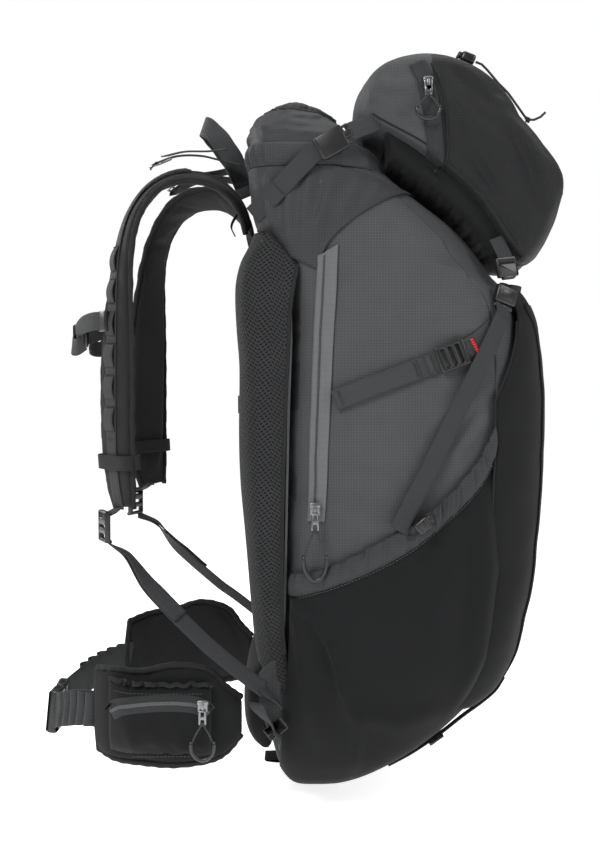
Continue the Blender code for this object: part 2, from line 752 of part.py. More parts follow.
def makeLidStraps():
    for word, side in sides.items():
        line = [(-0.046, 0.1225, 0.608), (-0.036, 0.1295, 0.617), (-0.022, 0.1350, 0.631), (-0.004, 0.1345, 0.650),
                (0.016, 0.1335, 0.669), (0.018, 0.1335, 0.6705), (0.046, 0.1335, 0.685), (0.048, 0.1335, 0.686),
                (0.061, 0.1320, 0.692)]
        path = [mirrored(at(x, y, z), side) for x, y, z in line]
        across = [Vector((-0.6, 0, 0.8))] * len(path)
        widths = [webWidth] * 5 + [webWidth + 0.006] * 2 + [webWidth] * 2
        thicks = [tape] * 5 + [buckleThick * 0.8] * 2 + [tape] * 2
        addLoft("lid_strap_" + word, sweep(path, across, widths, thicks), "webbing", "lid")

        line = [(0.2035, 0.1200, 0.571), (0.2075, 0.1200, 0.565), (0.208, 0.119, 0.564), (0.2125, 0.123, 0.5415)]
        path = [mirrored(at(x, y, z), side) for x, y, z in line]
        across = [Vector((0.9, side * -0.35, 0.25))] * len(path)
        widths = [webWidth, webWidth, webWidth + 0.004, webWidth + 0.004]
        thicks = [tape, tape, buckleThick, buckleThick]
        addLoft("lid_buckle_" + word, sweep(path, across, widths, thicks), "plastic", "lid")


# ---- zip sliders ----

def addSlider(name, spot, side, place):
    axes = (Vector((1, 0, 0)), Vector((0, side, 0)), Vector((0, 0, 1)))
    addBlock(name, spot, axes, Vector((0.009, 0.0035, 0.012)), "metal", place)


def makeSliders():
    left = sides["left"]
    out = 0.0024 + lying + 0.0035 / 2
    zipSpot = onSide(left, 0.0150 * stretch.x, 0.311 * stretch.z, 0)
    zipSpot.y = -(sideY(0.03 * stretch.x, 0.38 * stretch.z) + out)
    addPlace("side_slider", zipSpot, "bag")
    addSlider("side_zip_slider", zipSpot, left, "side_slider")
    hook = zipSpot + Vector((0, left * (0.0035 / 2 + 0.0008 + ringWire / 2), -0.004))
    hook.y = min(hook.y, -(sideY(0.015, 0.25 * stretch.z) + hemReach + ringWire))
    addPlace("side_puller", hook, "side_slider")
    addPuller("side_zip_ring", hook + Vector((0, 0, 0.0015)), left, "plastic", "side_puller", ringHeights["side"])

    lidSpot = at(0.1285, 0, 0.738)
    lidSpot.y = left * (lidHalf * stretch.y + lying + 0.002 + lying + 0.0035 / 2)
    addPlace("lid_slider", lidSpot, "lid")
    addSlider("lid_zip_slider", lidSpot, left, "lid_slider")
    hook = lidSpot + Vector((0, left * (0.0035 / 2 + 0.0008 + ringWire / 2), -0.004))
    addPlace("lid_puller", hook, "lid_slider")
    addPuller("lid_zip_ring", hook + Vector((0, 0, 0.0015)), left, "plastic", "lid_puller", ringHeights["lid"])

    hipSpot = at(-0.096, 0, 0.119)
    hipSpot.y = left * (pocketFace * stretch.y + (wingThick - drawnWing) / 2 + 0.0018 + lying + 0.0035 / 2)
    addPlace("hip_slider", hipSpot, "wing_left")
    addSlider("hip_zip_slider", hipSpot, left, "hip_slider")
    hook = hipSpot + Vector((0, left * (0.0035 / 2 + 0.0008 + ringWire / 2), -0.004))
    addPlace("hip_puller", hook, "hip_slider")
    addPuller("hip_zip_ring", hook + Vector((0, 0, 0.0015)), left, "plastic", "hip_puller", ringHeights["hip"])


# ---- shoulder straps ----

padLine = [
    (-0.056, 0.049, 0.598), (-0.063, 0.054, 0.621), (-0.078, 0.064, 0.640), (-0.100, 0.077, 0.6505),
    (-0.128, 0.091, 0.649), (-0.152, 0.104, 0.634), (-0.169, 0.112, 0.608), (-0.1785, 0.117, 0.575),
    (-0.183, 0.120, 0.535), (-0.186, 0.121, 0.480), (-0.187, 0.121, 0.420), (-0.1865, 0.120, 0.365),
    (-0.184, 0.119, 0.330), (-0.181, 0.118, 0.308),
]
padRoll = [
    (0.0, -0.10, 0.10), (0.25, 0.0, 0.26), (0.45, 0.25, 0.20), (0.65, 0.46, 0.04), (1.0, 0.46, 0.0),
]


def makeShoulderStraps():
    for word, side in sides.items():
        place = "strap_" + word
        path = smoothPath([mirrored(at(x, y, z), side) for x, y, z in padLine], 20)
        across = []
        for i in range(len(path)):
            forward, down = smooth(padRoll, i / (len(path) - 1))
            across.append(Vector((forward, side * 0.95, -down)))
        widths = [padWidth] * len(path)
        thicks = [padThick] * len(path)
        widths[0], thicks[0] = padWidth * 0.7, padThick * 0.6
        widths[-1], thicks[-1] = padWidth * 0.75, padThick * 0.7
        addLoft("shoulder_pad_" + word, sweep(path, across, widths, thicks, softShape), "mesh", place)

        foot = path[-1]
        lockCentre = foot + Vector((-0.021, 0, -0.019))
        axes = (Vector((0, 0, 1)), Vector((0, side, 0)), Vector((1, 0, 0)))
        addBlock("strap_lock_" + word, lockCentre, axes, Vector((0.032, webWidth + 0.008, 0.007)), "plastic", place)

        start = lockCentre + Vector((0.003, 0, -0.0175))
        end = mirrored(strapFoot, side)
        line = [start, mirrored(at(-0.1538, 0.137, 0.230), side), mirrored(at(-0.1027, 0.150, 0.1813), side),
                mirrored(at(-0.080, 0.1575, 0.163), side), mirrored(at(-0.056, 0.1585, 0.144), side), end]
        lower = smoothPath(line, 14)
        axis = [Vector((-0.63, 0, -0.77))] * len(lower)
        addStrap("lower_webbing_" + word, lower, axis, webWidth * 0.9, tape, place=place)

        line = [(-0.150, 0.100, 0.662), (-0.128, 0.088, 0.672), (-0.104, 0.076, 0.6745),
                (-0.082, 0.067, 0.671), (-0.064, 0.060, 0.668)]
        path = smoothPath([mirrored(at(x, y, z), side) for x, y, z in line], 9)
        addStrap("load_lifter_" + word, path, [Vector((0.1, side * 0.95, -0.2))] * 9, webWidth, tape, place=place)

        line = [(-0.2000, 0.120, 0.500), (-0.214, 0.106, 0.500), (-0.229, 0.081, 0.497), (-0.240, 0.054, 0.491),
                (-0.2450, 0.030, 0.488), (-0.2460, 0.028, 0.4875), (-0.2460, 0.0006, 0.4875)]
        path = [mirrored(at(x, y, z), side) for x, y, z in line]
        across = [Vector((0, 0, 1))] * len(path)
        widths = [webWidth] * 5 + [webWidth + 0.006] * 2
        thicks = [tape] * 5 + [buckleThick] * 2
        addLoft("sternum_strap_" + word, sweep(path, across, widths, thicks), "webbing", "sternum_" + word)


# ---- hip belt ----

# Middle of the hip pad: depth position, width position, low edge, high edge.
wingLine = [
    (-0.060, 0.1405, 0.078, 0.117), (-0.075, 0.150, 0.062, 0.131), (-0.092, 0.1575, 0.055, 0.150),
    (-0.125, 0.163, 0.052, 0.157), (-0.158, 0.156, 0.052, 0.149), (-0.188, 0.139, 0.051, 0.147),
    (-0.210, 0.115, 0.054, 0.142),
]
pocketFace = 0.1785


def makeHipBelt():
    for word, side in sides.items():
        place = "wing_" + word
        rings = []
        for i, (x, y, low, high) in enumerate(wingLine):
            before, after = wingLine[max(i - 1, 0)], wingLine[min(i + 1, len(wingLine) - 1)]
            ahead = (at(after[0], after[1], 0) - at(before[0], before[1], 0)).normalized()
            out = Vector((0, 0, 1)).cross(ahead)
            out *= 1 if out.y > 0 else -1
            half = wingThick / 2 * (0.7 if i in (0, len(wingLine) - 1) else 1.0)
            ring = []
            for u, v in softShape:
                z = (low + high) / 2 + (high - low) / 2 * u
                ring.append(mirrored(at(x, y, z) + out * (half * v), side))
            rings.append(ring)
        addLoft("hip_pad_" + word, rings, "mesh", place)

        line = [(-0.2170, 0.107, 0.095), (-0.233, 0.091, 0.092), (-0.252, 0.068, 0.084), (-0.266, 0.044, 0.076),
                (-0.2735, 0.0300, 0.0705), (-0.2755, 0.0285, 0.068), (-0.2755, 0.0006, 0.068)]
        path = [mirrored(at(x, y, z), side) for x, y, z in line]
        across = [Vector((0.1, 0, 1))] * len(path)
        widths = [beltWidth] * 5 + [beltWidth + 0.012] * 2
        thicks = [tape * 1.2] * 5 + [buckleThick * 1.6] * 2
        addLoft("hip_belt_" + word, sweep(path, across, widths, thicks), "webbing", place)

    # Zipped pocket on the left pad, flat on its outside so that the slider can run.
    side = sides["left"]
    outer, inner = [], []
    columns = [(-0.088, 0.1640, 0.60), (-0.094, 0.1667, 1.0), (-0.125, 0.1720, 1.0), (-0.168, 0.1625, 1.0),
               (-0.182, 0.1535, 0.62), (-0.192, 0.1460, 0.35)]
    thicker = (wingThick - drawnWing) / 2
    for x, wall, full in columns:
        outerRow, innerRow = [], []
        for level in (0.064, 0.074, 0.092, 0.118, 0.132, 0.141):
            taper = full * (1.0 if 0.07 < level < 0.135 else 0.55)
            base = wall + thicker + 0.0012
            outerRow.append(mirrored(at(x, base + (pocketFace + thicker - base) * max(taper, 0.3), level), side))
            innerRow.append(mirrored(at(x, base, level), side))
        outer.append(outerRow)
        inner.append(innerRow)
    addSlab("hip_pocket", outer, inner, "ripstopDark", "wing_left")


# ---- the pack ----

haulTop = at(-0.107, 0, 0.719)
lidHinge = at(-0.047, 0, 0.608)
strapTop = at(-0.045, 0.082, 0.625)
strapFoot = at(-0.036, 0.1545, 0.128)
sternumFoot = at(-0.200, 0.120, 0.500)
wingPivot = at(-0.052, 0.138, 0.098)


def makePack():
    for obj in list(bpy.data.objects):
        bpy.data.objects.remove(obj)
    addPlace("bag", -haulTop)
    addPlace("lid", lidHinge, "bag")
    for word, side in sides.items():
        addPlace("strap_" + word, mirrored(strapTop, side), "bag")
        addPlace("sternum_" + word, mirrored(sternumFoot, side), "strap_" + word)
        addPlace("wing_" + word, mirrored(wingPivot, side), "bag")
    makeWalls()
    makeBase()
    makeRimAndCollar()
    makeBackSystem()
    makeFrontPocket()
    makeSidePockets()
    makeFins()
    makeSideStraps()
    makeToolStraps()
    makeHaulLoop()
    makeZip()
    makePocketLocks()
    makeLid()
    makeLidStraps()
    makeShoulderStraps()
    makeHipBelt()
    makeSliders()


makePack()
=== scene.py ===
# Looks of the touring backpack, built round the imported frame. Metres; +X is the pack's front,
# away from the wearer, -Y is the wearer's left.
import json
import math
import random
import bpy
import bmesh
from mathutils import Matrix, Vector, noise
from mathutils.bvhtree import BVHTree

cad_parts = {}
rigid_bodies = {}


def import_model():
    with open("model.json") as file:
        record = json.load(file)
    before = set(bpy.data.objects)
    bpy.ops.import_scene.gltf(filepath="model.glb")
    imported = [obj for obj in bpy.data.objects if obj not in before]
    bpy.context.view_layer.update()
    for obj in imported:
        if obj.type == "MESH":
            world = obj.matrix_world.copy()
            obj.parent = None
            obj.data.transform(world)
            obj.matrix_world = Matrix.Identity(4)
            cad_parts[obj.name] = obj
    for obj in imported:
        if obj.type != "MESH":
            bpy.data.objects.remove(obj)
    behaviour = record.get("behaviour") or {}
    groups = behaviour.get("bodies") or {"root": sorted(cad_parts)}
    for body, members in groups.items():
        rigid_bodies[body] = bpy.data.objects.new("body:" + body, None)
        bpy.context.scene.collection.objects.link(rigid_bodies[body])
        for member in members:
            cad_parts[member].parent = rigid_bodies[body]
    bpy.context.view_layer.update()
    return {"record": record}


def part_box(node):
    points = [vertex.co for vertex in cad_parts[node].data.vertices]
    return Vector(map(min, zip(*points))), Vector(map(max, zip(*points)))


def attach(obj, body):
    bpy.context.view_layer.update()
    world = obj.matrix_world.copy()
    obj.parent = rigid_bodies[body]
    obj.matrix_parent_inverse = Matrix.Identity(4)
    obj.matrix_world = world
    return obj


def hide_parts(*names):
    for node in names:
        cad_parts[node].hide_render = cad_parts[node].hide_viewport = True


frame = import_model()
random.seed(7)

# Outlines are drawn with the lowest point of the bag at height 0; this moves them into the frame.
restMount = next(m for m in frame["record"]["mounts"] if m["name"] == "base_rest")
bagFoot = Vector(restMount["pos_m"]) - Vector((0.015, 0, 0))
sides = {"left": -1.0, "right": 1.0}


def atBag(x, y, z):
    return bagFoot + Vector((x, y, z))


# ---- camera, light and floor ----
studio = {
    "cameraPlace": (0.0, -1.35, 0.453), "cameraDrop": 3.0, "lens": 50.23,
    "floorHeight": -0.020, "world": 0.25, "backdrop": 1.0, "floorGlow": 0.77,
}


def makeStudio():
    print("studio")
    scene = bpy.context.scene
    data = bpy.data.cameras.new("viewCamera")
    data.lens = studio["lens"]
    data.sensor_width = 36
    camera = bpy.data.objects.new("viewCamera", data)
    camera.location = atBag(*studio["cameraPlace"])
    camera.rotation_euler = (math.radians(90 - studio["cameraDrop"]), 0, 0)
    scene.collection.objects.link(camera)
    scene.camera = camera
    scene.view_settings.view_transform = "Standard"
    world = bpy.data.worlds.new("studioAir")
    world.use_nodes = True
    air = world.node_tree.nodes["Background"]
    air.inputs["Color"].default_value = (1, 1, 1, 1)
    # The backdrop is seen white, and lights the pack less than that.
    rays = world.node_tree.nodes.new("ShaderNodeLightPath")
    level = world.node_tree.nodes.new("ShaderNodeMapRange")
    level.inputs["To Min"].default_value = studio["world"]
    level.inputs["To Max"].default_value = studio["backdrop"]
    world.node_tree.links.new(rays.outputs["Is Camera Ray"], level.inputs["Value"])
    world.node_tree.links.new(level.outputs["Result"], air.inputs["Strength"])
    scene.world = world
    lamps = [  # place, aim, size, watts
        ((-0.9, -1.6, 1.7), (0.0, 0.0, 0.45), 0.8, 33),
        ((1.5, -0.9, 1.3), (0.1, 0.0, 0.4), 0.8, 12),
        ((-1.3, 0.9, 1.1), (0.0, 0.0, 0.4), 0.8, 12),
        ((0.3, 0.2, 2.1), (0.05, 0.0, 0.4), 1.2, 14),
    ]
    for i, (place, aim, size, watts) in enumerate(lamps):
        light = bpy.data.lights.new(f"softLight{i}", "AREA")
        light.size = size
        light.energy = watts
        lamp = bpy.data.objects.new(f"softLight{i}", light)
        lamp.location = atBag(*place)
        lamp.rotation_euler = (atBag(*aim) - atBag(*place)).to_track_quat("-Z", "Y").to_euler()
        scene.collection.objects.link(lamp)
    mesh = bpy.data.meshes.new("paleFloor")
    corners = [atBag(x, y, studio["floorHeight"]) for x, y in ((-6, -4), (6, -4), (6, 9), (-6, 9))]
    mesh.from_pydata(corners, [], [(0, 1, 2, 3)])
    floor = bpy.data.objects.new("paleFloor", mesh)
    material = bpy.data.materials.new("paleFloor")
    material.use_nodes = True
    shader = material.node_tree.nodes["Principled BSDF"]
    shader.inputs["Base Color"].default_value = (0.97, 0.97, 0.97, 1)
    shader.inputs["Roughness"].default_value = 0.95
    shader.inputs["Emission Color"].default_value = (1, 1, 1, 1)
    shader.inputs["Emission Strength"].default_value = studio["floorGlow"]
    mesh.materials.append(material)
    scene.collection.objects.link(floor)


# ---- finishes ----
class Socket:
    # An output of a node; arithmetic on it adds Math nodes.
    def __init__(self, kit, out):
        self.kit = kit
        self.out = out

    def maths(self, operation, other=0.0, flip=False, clamp=False):
        pair = (other, self) if flip else (self, other)
        settings = {"operation": operation, "use_clamp": clamp}
        return self.kit.node("ShaderNodeMath", settings, {0: pair[0], 1: pair[1]})

    def __add__(self, other):
        return self.maths("ADD", other)

    def __radd__(self, other):
        return self.maths("ADD", other, True)

    def __sub__(self, other):
        return self.maths("SUBTRACT", other)

    def __rsub__(self, other):
        return self.maths("SUBTRACT", other, True)

    def __mul__(self, other):
        return self.maths("MULTIPLY", other)

    def __rmul__(self, other):
        return self.maths("MULTIPLY", other, True)

    def __truediv__(self, other):
        return self.maths("DIVIDE", other)

    def absolute(self):
        return self.maths("ABSOLUTE")

    def top(self, other):
        return self.maths("MAXIMUM", other)

    def low(self, other):
        return self.maths("MINIMUM", other)

    def power(self, other):
        return self.maths("POWER", other)

    def bounce(self, pitch):
        # Runs up and down between 0 and half, once in each pitch.
        return (self / pitch).maths("PINGPONG", 0.5)

    def line(self, pitch, width, soft):
        # 1 on lines of that share of the pitch, 0 between them.
        return ((width - self.bounce(pitch)) / soft).maths("ADD", 0.5, clamp=True)

    def sine(self, pitch):
        return (self * (math.tau / pitch)).maths("SINE")


class Finish:
    # One material under construction.
    def __init__(self, name):
        self.material = bpy.data.materials.new(name)
        self.material.use_nodes = True
        self.tree = self.material.node_tree
        self.shader = self.tree.nodes["Principled BSDF"]

    def node(self, kind, settings=None, inputs=None, out=0):
        made = self.tree.nodes.new(kind)
        for key, value in (settings or {}).items():
            if key == "stops":
                ramp = made.color_ramp.elements
                while len(ramp) < len(value):
                    ramp.new(1.0)
                for stop, (position, colour) in zip(ramp, value):
                    stop.position = position
                    stop.color = (*colour, 1.0)
            else:
                setattr(made, key, value)
        for key, value in (inputs or {}).items():
            if isinstance(value, Socket):
                self.tree.links.new(value.out, made.inputs[key])
            else:
                made.inputs[key].default_value = value
        return Socket(self, made.outputs[out])

    def axes(self, source):
        # The three parts of a vector.
        split = self.tree.nodes.new("ShaderNodeSeparateXYZ")
        self.tree.links.new(source.out, split.inputs[0])
        return [Socket(self, o) for o in split.outputs]

    def place(self):
        return self.node("ShaderNodeTexCoord", out="Object")

    def faceShares(self):
        # How far each face looks along each axis of its piece.
        parts = self.axes(self.node("ShaderNodeTexCoord", out="Normal"))
        strong = [p.absolute().power(6) for p in parts]
        total = strong[0] + strong[1] + strong[2] + 0.0001
        return [p / total for p in strong]

    def wrapped(self, pattern):
        # A pattern of two runs, laid on from whichever side each face looks to.
        x, y, z = self.axes(self.place())
        shares = self.faceShares()
        return pattern(y, z) * shares[0] + pattern(x, z) * shares[1] + pattern(x, y) * shares[2]

    def cloud(self, scale, detail=2.0, rough=0.55, source=None):
        inputs = {"Scale": scale, "Detail": detail, "Roughness": rough, "Vector": source or self.place()}
        return self.node("ShaderNodeTexNoise", {}, inputs)

    def mix(self, factor, a, b):
        first = a if isinstance(a, Socket) else (*a, 1.0)
        second = b if isinstance(b, Socket) else (*b, 1.0)
        return self.node("ShaderNodeMix", {"data_type": "RGBA"}, {0: factor, 6: first, 7: second}, out=2)

    def bump(self, height, distance, strength=1.0, under=None):
        inputs = {"Height": height, "Distance": distance, "Strength": strength}
        if under:
            inputs["Normal"] = under
        return self.node("ShaderNodeBump", {}, inputs)

    def set(self, values):
        for key, value in values.items():
            socket = self.shader.inputs[key]
            if isinstance(value, Socket):
                self.tree.links.new(value.out, socket)
            else:
                socket.default_value = value
        return self.material


def shade(colour, k):
    return tuple(c * k for c in colour)


finishes = {}
# Colour, grid pitch, and lift: how far the grid threads are painted lighter, a painted highlight on the
# raised threads.
ripstopLook = {
    "ripstop": {"colour": (0.046, 0.048, 0.0505), "grid": 0.0029, "lift": 0.26},
    "ripstopDark": {"colour": (0.029, 0.030, 0.032), "grid": 0.0029, "lift": 0.26},
    "ripstopLid": {"colour": (0.0088, 0.0092, 0.0098), "grid": 0.0029, "lift": 0.34},
    "ripstopTop": {"colour": (0.046, 0.048, 0.0505), "grid": 0.0034, "lift": 0.12},
}


def makeRipstop(name, look):
    kit = Finish(name)
    pitch = look["grid"]

    def threads(u, v):
        return u.line(pitch, 0.10, 0.10).top(v.line(pitch, 0.10, 0.10))

    def weave(u, v):
        return u.sine(0.0011) * v.sine(0.0011)

    grid = kit.wrapped(threads)
    # Large lighter and darker patches in the cloth's colour: partly wear, partly painted sheen. The same
    # noise also varies the roughness.
    wearAndSheen = kit.cloud(16, 3)
    patchy = kit.cloud(55, 2)
    colour = look["colour"]
    base = kit.mix(wearAndSheen, shade(colour, 0.80), shade(colour, 1.18))
    # The grid is the cloth's real pattern; painting its threads lighter than the cloth is a painted highlight
    # on them.
    lit = kit.mix(grid * (patchy * look["lift"] + look["lift"] * 0.5), base, shade(colour, 2.6))
    crease = kit.bump(kit.cloud(26, 4, 0.55), 0.0030, 0.42)
    normal = kit.bump(grid * 0.7 + kit.wrapped(weave) * 0.3, 0.00028, 0.55, crease)
    finishes[name] = kit.set({"Base Color": lit, "Roughness": wearAndSheen * 0.16 + 0.50, "Normal": normal,
                             "Sheen Weight": 0.03, "Sheen Roughness": 0.5, "Specular IOR Level": 0.18})


def makeStretchCloth():
    kit = Finish("stretchCloth")
    colour = (0.0072, 0.0076, 0.0081)
    soft = kit.cloud(9, 3)

    def knit(u, v):
        return (u + v * 0.5).sine(0.0016) * v.sine(0.0013)

    normal = kit.bump(kit.wrapped(knit), 0.0002, 0.35, kit.bump(kit.cloud(24, 3), 0.002, 0.25))
    look = kit.mix(soft, shade(colour, 0.82), shade(colour, 1.25))
    finishes["stretchCloth"] = kit.set({
        "Base Color": look, "Roughness": soft * 0.1 + 0.80, "Normal": normal,
        "Sheen Weight": 0.04, "Sheen Roughness": 0.55, "Specular IOR Level": 0.15,
    })


def makeAirMesh():
    kit = Finish("airMesh")

    def holes(u, v):
        slant = v + u.bounce(0.026) * 0.018
        rows = slant.line(0.0040, 0.23, 0.16)
        return rows * (u + slant * 0.5).line(0.0036, 0.30, 0.18)

    mask = kit.wrapped(holes)
    tone = kit.cloud(30, 3)
    yarn = kit.mix(tone, (0.0165, 0.0170, 0.0180), (0.032, 0.0330, 0.0346))
    # The holes are painted near black, far darker than the yarn round them: painted shade in the holes.
    colour = kit.mix(mask, yarn, (0.0015, 0.0015, 0.0016))
    normal = kit.bump(1 - mask, 0.0011, 0.8)
    finishes["airMesh"] = kit.set({"Base Color": colour, "Roughness": 0.82, "Normal": normal,
                                   "Sheen Weight": 0.03,
                                  "Specular IOR Level": 0.2})
    kit = Finish("padMesh")

    def fine(u, v):
        return u.line(0.0022, 0.2, 0.2) * (v + u * 0.5).line(0.0022, 0.2, 0.2)

    mask = kit.wrapped(fine)
    tone = kit.cloud(24, 3)
    yarn = kit.mix(tone, (0.0105, 0.0108, 0.0116), (0.018, 0.0186, 0.0198))
    normal = kit.bump(1 - mask, 0.0006, 0.7)
    # The holes are painted darker than the yarn round them: painted shade in the holes.
    finishes["padMesh"] = kit.set({"Base Color": kit.mix(mask, yarn, (0.006, 0.006, 0.0065)),
                                   "Roughness": 0.85,
                                  "Normal": normal, "Sheen Weight": 0.04, "Specular IOR Level": 0.2})
    kit = Finish("openMesh")

    def wide(u, v):
        return u.line(0.0048, 0.26, 0.1) * (v + u * 0.5).line(0.0048, 0.26, 0.1)

    mask = kit.wrapped(wide)
    yarn = kit.mix(kit.cloud(24, 3), (0.006, 0.0062, 0.0066), (0.011, 0.0114, 0.012))
    normal = kit.bump(1 - mask, 0.0016, 0.9)
    # The holes are painted near black, darker than the cloth behind the mesh: painted shade in the holes.
    finishes["openMesh"] = kit.set({"Base Color": kit.mix(mask, yarn, (0.0025, 0.0025, 0.0027)),
                                    "Roughness": 0.7,
                                   "Normal": normal})


def makeWoven():
    looks = {  # colour, rib pitch, slant of the ribs, roughness
        "webbing": ((0.036, 0.037, 0.039), 0.0017, 1.0, 0.66),
        "plainWebbing": ((0.040, 0.0415, 0.0435), 0.0016, 0.0, 0.62),
        "darkWebbing": ((0.014, 0.0145, 0.0153), 0.0016, 1.0, 0.7),
        "binding": ((0.014, 0.0145, 0.0153), 0.0014, 0.0, 0.7),
        "zipTape": ((0.128, 0.131, 0.136), 0.0012, 0.0, 0.52),
        "darkTape": ((0.026, 0.027, 0.0285), 0.0012, 0.0, 0.6),
    }
    for name, (colour, pitch, slant, rough) in looks.items():
        kit = Finish(name)
        u, v = kit.axes(kit.node("ShaderNodeUVMap", {"uv_map": "weave"}))[:2]
        ribs = (v + u.bounce(0.008) * (0.008 * slant) if slant else u).line(pitch, 0.27, 0.3)
        cross = v.line(0.0009, 0.2, 0.3)
        height = ribs * 0.8 + cross * 0.2
        tone = kit.cloud(40, 3)
        # The ribs are painted lighter and the grooves between them darker, by the same height as the bump:
        # painted highlight and painted shade.
        lit = kit.mix(height, shade(colour, 0.62), shade(colour, 1.25))
        lit = kit.mix(tone * 0.35, lit, shade(colour, 0.7))
        normal = kit.bump(height, 0.0004, 0.8)
        finishes[name] = kit.set({"Base Color": lit, "Roughness": tone * 0.1 + rough, "Normal": normal,
                                 "Sheen Weight": 0.02, "Specular IOR Level": 0.22})


def makeHard():
    looks = {  # colour, roughness, metallic, grain
        "plastic": ((0.0085, 0.0088, 0.0094), 0.34, 0.0, 0.25),
        "ringPlastic": ((0.014, 0.0145, 0.0155), 0.30, 0.0, 0.2),
        "metal": ((0.20, 0.20, 0.205), 0.30, 1.0, 0.15),
        "sheetPlastic": ((0.20, 0.205, 0.21), 0.5, 0.0, 0.3),
    }
    for name, (colour, rough, metallic, grain) in looks.items():
        kit = Finish(name)
        tone = kit.cloud(60, 4)
        fine = kit.cloud(900, 2)
        lit = kit.mix(tone, shade(colour, 0.85), shade(colour, 1.35))
        normal = kit.bump(fine, 0.0001, grain)
        finishes[name] = kit.set({"Base Color": lit, "Roughness": tone * 0.2 + rough - 0.1,
                                  "Metallic": metallic,
                                 "Normal": normal})
    threads = {"thread": (0.075, 0.077, 0.080), "darkThread": (0.020, 0.0205, 0.0215),
               "redThread": (0.62, 0.012, 0.022)}
    for name, colour in threads.items():
        kit = Finish(name)
        twist = kit.cloud(700, 2)
        lit = kit.mix(twist, shade(colour, 0.7), shade(colour, 1.25))
        finishes[name] = kit.set({"Base Color": lit, "Roughness": 0.7,
                                  "Normal": kit.bump(twist, 0.0002, 0.4)})
    for name, colour in {"cord": (0.011, 0.0113, 0.012), "greyCord": (0.035, 0.036, 0.038)}.items():
        kit = Finish(name)
        u, v = kit.axes(kit.node("ShaderNodeUVMap", {"uv_map": "weave"}))[:2]
        braid = (v + u).line(0.0018, 0.25, 0.25) * (v - u).line(0.0018, 0.3, 0.25)
        # The braid's raised strands are painted lighter and the gaps between them darker, by the same mask as
        # the bump: painted highlight and painted shade.
        lit = kit.mix(braid, shade(colour, 0.6), shade(colour, 1.5))
        finishes[name] = kit.set({"Base Color": lit, "Roughness": 0.72,
                                  "Normal": kit.bump(braid, 0.0003, 0.8)})


# ---- mesh building ----
def smooth(rows, t):
    # Smooth curve through rows of (position, value, value, ...).
    last = len(rows) - 1
    i = 0
    while i < last - 1 and t > rows[i + 1][0]:
        i += 1
    a, b = rows[i], rows[i + 1]
    before, after = rows[max(i - 1, 0)], rows[min(i + 2, last)]
    step = b[0] - a[0]
    f = min(max((t - a[0]) / step, 0.0), 1.0)
    values = []
    for k in range(1, len(a)):
        slopeA = (b[k] - before[k]) / (b[0] - before[0]) * step
        slopeB = (after[k] - a[k]) / (after[0] - a[0]) * step
        curve = slopeA * f * (1 - f) ** 2 - slopeB * f ** 2 * (1 - f)
        values.append(a[k] + (b[k] - a[k]) * (3 * f * f - 2 * f ** 3) + curve)
    return values


def spread(points, count):
    # Evenly spaced points along a smooth curve through the given ones.
    points = [Vector(p) for p in points]
    rows, run = [], 0.0
    for i, p in enumerate(points):
        run += (p - points[i - 1]).length if i else 0.0
        rows.append((run, *p))
    return [Vector(smooth(rows, run * i / (count - 1))) for i in range(count)]


def meshPiece(name, points, faces, finish, weave=None, soft=True):
    mesh = bpy.data.meshes.new(name)
    mesh.from_pydata([tuple(p) for p in points], [], faces)
    if weave:
        layer = mesh.uv_layers.new(name="weave")
        for loop in mesh.loops:
            layer.data[loop.index].uv = weave[loop.vertex_index]
    work = bmesh.new()
    work.from_mesh(mesh)
    bmesh.ops.recalc_face_normals(work, faces=work.faces)
    work.to_mesh(mesh)
    work.free()
    mesh.shade_smooth()
    if not soft:
        mesh.set_sharp_from_angle(angle=math.radians(38))
    mesh.materials.append(finishes[finish])
    obj = bpy.data.objects.new(name, mesh)
    bpy.context.scene.collection.objects.link(obj)
    return obj


def wear(obj, body, slot, *nodes):
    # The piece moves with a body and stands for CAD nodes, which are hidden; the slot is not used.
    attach(obj, body)
    if nodes:
        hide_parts(*nodes)
    return obj


def runs(points):
    total, found = 0.0, []
    for i, p in enumerate(points):
        total += (p - points[i - 1]).length if i else 0.0
        found.append(total)
    return found


